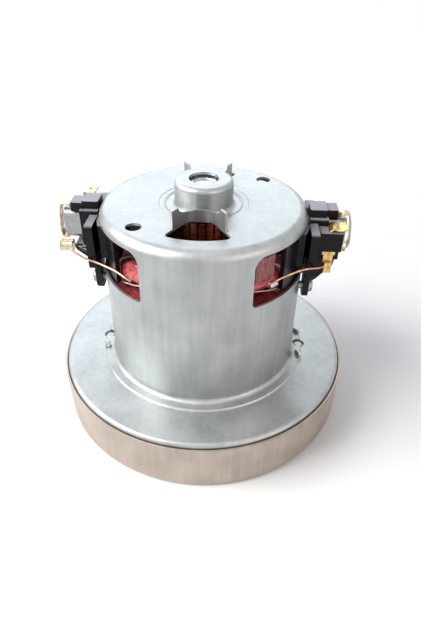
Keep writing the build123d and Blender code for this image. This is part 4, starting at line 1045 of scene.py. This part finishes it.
def pressed_insulation_board():
    """Pressed fibre board: pink-brown, matt, with fine fibres."""
    made, tree, shader, place = start_material("pressed_insulation_board")
    fibre_size, relief = BOARD_PATTERN
    fibres = patches(tree, place, fibre_size, (1, 1, 5), 4.0)
    colour = between(tree, fibres, "#6e3a3e", "#a9716c")
    finish_shader(tree, shader, colour, ranged(tree, fibres, 0.65, 0.8), fibres, relief, 0.0)
    return made


def waxed_cord():
    """Waxed polyester cord: pale, its twist shown coarser than it is so that it can be seen."""
    made, tree, shader, place = start_material("waxed_cord")
    twist = node(tree, "TexWave", {"Vector": place, "Scale": 0.6}, bands_direction="DIAGONAL").outputs["Fac"]
    colour = between(tree, twist, "#b39f8a", "#efe2cf")
    finish_shader(tree, shader, colour, ranged(tree, twist, 0.7, 0.5), twist, CORD_RELIEF, 0.0)
    return made


def stacked_laminations(name, varnish_z):
    """Stacked electrical sheet, 0.5 mm a layer, its cut edges dull grey with darker joints. Above a
    height in millimetres it is coated with the red varnish of the coils."""
    made, tree, shader, place = start_material(name)
    tone_size, varnish_size, relief = LAMINATION_PATTERN
    layers = node(tree, "TexWave", {"Vector": place, "Scale": 0.31}, bands_direction="Z").outputs["Fac"]
    tone = patches(tree, place, tone_size, (1, 1, 0.2), 4.0)
    both = node(tree, "Math", {0: layers, 1: tone}, operation="MULTIPLY").outputs[0]
    steel = between(tree, both, "#3b3c40", "#8d9094", 0.05, 0.6)
    blotches = patches(tree, place, varnish_size, detail=6.0)
    varnish = between(tree, blotches, "#98282e", "#d2666a")
    height = node(tree, "SeparateXYZ", {0: place}).outputs["Z"]
    coated = node(tree, "Math", {0: height, 1: varnish_z}, operation="GREATER_THAN").outputs[0]
    colour = node(tree, "Mix", {0: coated, 6: steel, 7: varnish}, data_type="RGBA").outputs[2]
    finish_shader(tree, shader, colour, ranged(tree, tone, 0.4, 0.6), layers, relief, 0.4)
    return made


def pressed_carbon():
    """Pressed carbon block: soft black with a faint metal glint."""
    made, tree, shader, place = start_material("pressed_carbon")
    grit_size, relief = CARBON_PATTERN
    grit = patches(tree, place, grit_size, detail=5.0)
    colour = between(tree, grit, "#141416", "#34343a")
    finish_shader(tree, shader, colour, ranged(tree, grit, 0.45, 0.65), grit, relief, 0.2)
    return made


def pressed_felt():
    """Pressed wool felt: grey, fuzzy and quite matt."""
    made, tree, shader, place = start_material("pressed_felt")
    fuzz_size, relief = FELT_PATTERN
    fuzz = patches(tree, place, fuzz_size, detail=8.0)
    colour = between(tree, fuzz, "#45433f", "#76726a")
    finish_shader(tree, shader, colour, ranged(tree, fuzz, 0.85, 0.95), fuzz, relief, 0.0)
    shader.inputs["Sheen Weight"].default_value = 0.4
    return made


def spun_aluminium():
    """Spun aluminium sheet: light, with rings about the shaft from the tool."""
    made, tree, shader, place = start_material("spun_aluminium")
    tone_size, relief = ALUMINIUM_PATTERN
    tone = patches(tree, place, tone_size, detail=4.0)
    colour = between(tree, tone, "#c4c6c8", "#e6e7e8")
    rings = node(tree, "TexWave", {"Vector": place, "Scale": 0.5}, wave_type="RINGS", rings_direction="Z")
    finish_shader(tree, shader, colour, ranged(tree, tone, 0.25, 0.4), rings.outputs["Fac"], relief, 1.0)
    return made


def hub_resin():
    """Brown moulding resin of the commutator's hub: satin, speckled."""
    made, tree, shader, place = start_material("hub_resin")
    speckle_size, relief = RESIN_PATTERN
    speckle = patches(tree, place, speckle_size, detail=5.0)
    colour = between(tree, speckle, "#3a2015", "#5d3a28")
    finish_shader(tree, shader, colour, ranged(tree, speckle, 0.4, 0.55), speckle, relief, 0.0)
    return made


# Stage


def shown_white(tree):
    """One for rays from the camera, a reflection or a see-through surface, and zero for light."""
    rays = node(tree, "LightPath")
    mirrored = node(tree, "Math", {0: rays.outputs["Is Glossy Ray"], 1: rays.outputs["Is Transmission Ray"]})
    return node(tree, "Math", {0: rays.outputs["Is Camera Ray"], 1: mirrored.outputs[0]}).outputs[0]


def studio_floor():
    """Wide pale floor, white to the camera and to reflections, with the object's soft shadow."""
    az = np.arange(FLOOR_STEPS)[:, None] * 360 / FLOOR_STEPS
    points = circle_points(az, np.array([FLOOR_RINGS]), np.zeros((1, len(FLOOR_RINGS))))
    floor = add_piece("floor", points, grid_faces(FLOOR_STEPS, len(FLOOR_RINGS), True, False))
    made, tree, shader, place = start_material("pale_floor")
    tone = patches(tree, place, FLOOR_CLOUD, detail=2.0)
    tree.links.new(between(tree, tone, "#ececec", "#f2f2f1"), shader.inputs["Base Color"])
    shader.inputs["Roughness"].default_value = 0.9
    distance = node(tree, "VectorMath", {0: place}, operation="LENGTH").outputs["Value"]
    links = {"Value": distance, "From Min": FLOOR_FADE[0], "From Max": FLOOR_FADE[1]}
    far = node(tree, "MapRange", links, interpolation_type="SMOOTHSTEP").outputs["Result"]
    seen = node(tree, "Math", {0: shown_white(tree), 1: far}, operation="MULTIPLY").outputs[0]
    white = node(tree, "Emission", {"Color": linear("#ffffff"), "Strength": 1.0}).outputs[0]
    mixed = node(tree, "MixShader", {0: seen, 1: shader.outputs[0], 2: white})
    tree.links.new(mixed.outputs[0], tree.nodes["Material Output"].inputs["Surface"])
    floor.data.materials.append(made)


def area_lamp(name, at, size, power, colour):
    """Soft oblong lamp at a place in millimetres, turned towards LAMPS_AIM."""
    data = bpy.data.lights.new(name, "AREA")
    data.shape = "RECTANGLE"
    data.size, data.size_y = (s * MM for s in size)
    data.energy = power
    data.color = linear(colour)[:3]
    away = np.array(at, float) - np.array(LAMPS_AIM, float)
    z = away / np.linalg.norm(away)
    x = np.cross((0, 0, 1), z)
    x /= np.linalg.norm(x)
    turned_to(name, data, (x, np.cross(z, x), z), at)


def studio_light():
    """One large soft lamp from the left, weak ones from the right and the back, and a pale room."""
    for lamp in LAMPS:
        area_lamp(*lamp)
    world = bpy.data.worlds.new("pale_room")
    world.use_nodes = True
    tree = world.node_tree
    tree.nodes["Background"].inputs["Color"].default_value = linear(ROOM_COLOUR)
    tree.nodes["Background"].inputs["Strength"].default_value = ROOM_STRENGTH
    white = node(tree, "Background", {"Color": linear("#ffffff"), "Strength": 1.0})
    mixed = node(tree, "MixShader", {0: shown_white(tree)})
    tree.links.new(tree.nodes["Background"].outputs[0], mixed.inputs[1])
    tree.links.new(white.outputs[0], mixed.inputs[2])
    tree.links.new(mixed.outputs[0], tree.nodes["World Output"].inputs["Surface"])
    bpy.context.scene.world = world


def photo_camera():
    """Camera at the photograph's place: yaw about Z, pitch down, then roll about the view."""
    forward = np.array((math.sin(CAMERA_YAW), math.cos(CAMERA_YAW), 0)) * math.cos(CAMERA_PITCH)
    forward[2] = -math.sin(CAMERA_PITCH)
    right = np.array((math.cos(CAMERA_YAW), -math.sin(CAMERA_YAW), 0))
    up = np.cross(right, forward)
    rolled = math.cos(CAMERA_ROLL) * right + math.sin(CAMERA_ROLL) * up
    rolled_up = -math.sin(CAMERA_ROLL) * right + math.cos(CAMERA_ROLL) * up
    data = bpy.data.cameras.new("photo_camera")
    data.lens = CAMERA_LENS
    data.clip_start, data.clip_end = (distance * MM for distance in CAMERA_CLIP)
    bpy.context.scene.camera = turned_to("photo_camera", data, (rolled, rolled_up, -forward), CAMERA_AT)


# The whole unit

zinc = zinc_plated_steel("zinc_plated_steel", "#9fa2a2", "#b5b8b8", 0.42)
# The cover's warm brown tint is a painted reflection of warm surroundings, laid into the plated steel's
# colour.
cover_zinc_warm_reflection = zinc_plated_steel("zinc_plated_cover_warm_reflection", "#a89b90", "#bcb0a5", 0.46)
tube_zinc = zinc_plated_steel("zinc_plated_tube", "#8f9192", "#adb0b2", 0.34)
bearing_steel = ground_bearing_steel()
moulding = moulded_phenolic()
brass = stamped_strip("stamped_brass", "#b98a45", "#ecd49a", 1.0)
pale_brass = stamped_strip("worn_brass", "#b39a76", "#e6d8be", 0.8)
tinned = stamped_strip("tinned_brass", "#b5a878", "#ddd2a6", 0.6)
soldered = stamped_strip("soldered_copper", "#a98f8f", "#dcc9c8", 0.7)
copper = drawn_copper()
bar_copper = turned_copper_bars()
windings = varnished_windings()
board = pressed_insulation_board()
cord = waxed_cord()
laminations = stacked_laminations("stacked_laminations", CORE_TOP_Z)
varnished_core = stacked_laminations("varnished_core", CORE_TOP_Z - ARMATURE_HEAD)
carbon = pressed_carbon()
felt = pressed_felt()
aluminium = spun_aluminium()
resin = hub_resin()

dress(motor_housing(), zinc, "housing", "motor_housing")
dress(fan_cover(), cover_zinc_warm_reflection, "housing", "fan_cover")
for side in ("front", "back"):
    dress(field_coil(side), windings, "housing", "field_coil_" + side)
dress(coil_lacing(), cord, "housing", "coil_lacing")
for node_name, route, turn in (
    ("coil_lead_front_left", CLIP_LEAD_ROUTE, BACK),
    ("coil_lead_back_right", CLIP_LEAD_ROUTE, FRONT),
    ("coil_lead_front_right", TONGUE_LEAD_ROUTE, FRONT),
    ("coil_lead_back_left", TONGUE_LEAD_ROUTE, BACK),
):
    dress(lead_wire(node_name + "_fine", route, turn), copper, "housing", node_name)
for side in ("upper", "lower"):
    outer, inner = side + "_bearing_outer_ring", side + "_bearing_inner_ring"
    dress(bearing_ring(outer, True), bearing_steel, "housing", outer)
    dress(bearing_ring(inner, False), bearing_steel, "rotor", inner)
dress(armature_winding(), windings, "rotor", "armature_winding")
dress(impeller_front_plate(), aluminium, "rotor", "impeller_front_plate")
for side in ("left", "right"):
    holder = softened("brush_holder_" + side, HOLDER_EDGE, holder_extras(side))
    dress(holder, moulding, "housing", "brush_holder_" + side)
    dress(brush_tube(side), tube_zinc, "housing", "brush_tube_" + side)
    dress(brush_end_clip(side), pale_brass, "housing", "brush_end_clip_" + side)
    screws = softened("holder_screws_" + side, SCREW_EDGE)
    dress(screws, zinc, "housing", "holder_screws_" + side)
dress(softened("mains_terminal_left", TAB_EDGE), tinned, "housing", "mains_terminal_left")
dress(mains_terminal_right(), brass, "housing", "mains_terminal_right")
dress(insulation_boards(), board, "housing", "coil_insulation_plates")
dress(softened("lead_splices", SPLICE_EDGE), soldered, "housing", "lead_splices")
dress(softened("commutator_bars", BAR_EDGE), bar_copper, "rotor", "commutator_bars")
bracket = softened("lower_bearing_bracket", BRACKET_EDGE)
dress(bracket, zinc, "housing", "lower_bearing_bracket")

for material, node_names in (
    (felt, ["inlet_seal_ring"]),
    (moulding, ["diffuser"]),
    (zinc, ["bracket_screws", "diffuser_screws", "impeller_washers", "impeller_nut"]),
    (bearing_steel, ["bearing_shields", "bearing_wave_washer", "shaft", "impeller_spacer"]),
    (bearing_steel, ["brush_spring_left", "brush_spring_right"]),
    (varnished_core, ["stator_core"]),
    (laminations, ["armature_core"]),
    (resin, ["commutator_hub"]),
    (aluminium, ["impeller_back_plate", "impeller_blades"]),
    (carbon, ["carbon_brush_left", "carbon_brush_right"]),
    (copper, ["brush_pigtail_left", "brush_pigtail_right"]),
):
    for node_name in node_names:
        finish_in(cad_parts[node_name], material)

studio_floor()
studio_light()
photo_camera()
bpy.context.scene.view_settings.view_transform = "Standard"
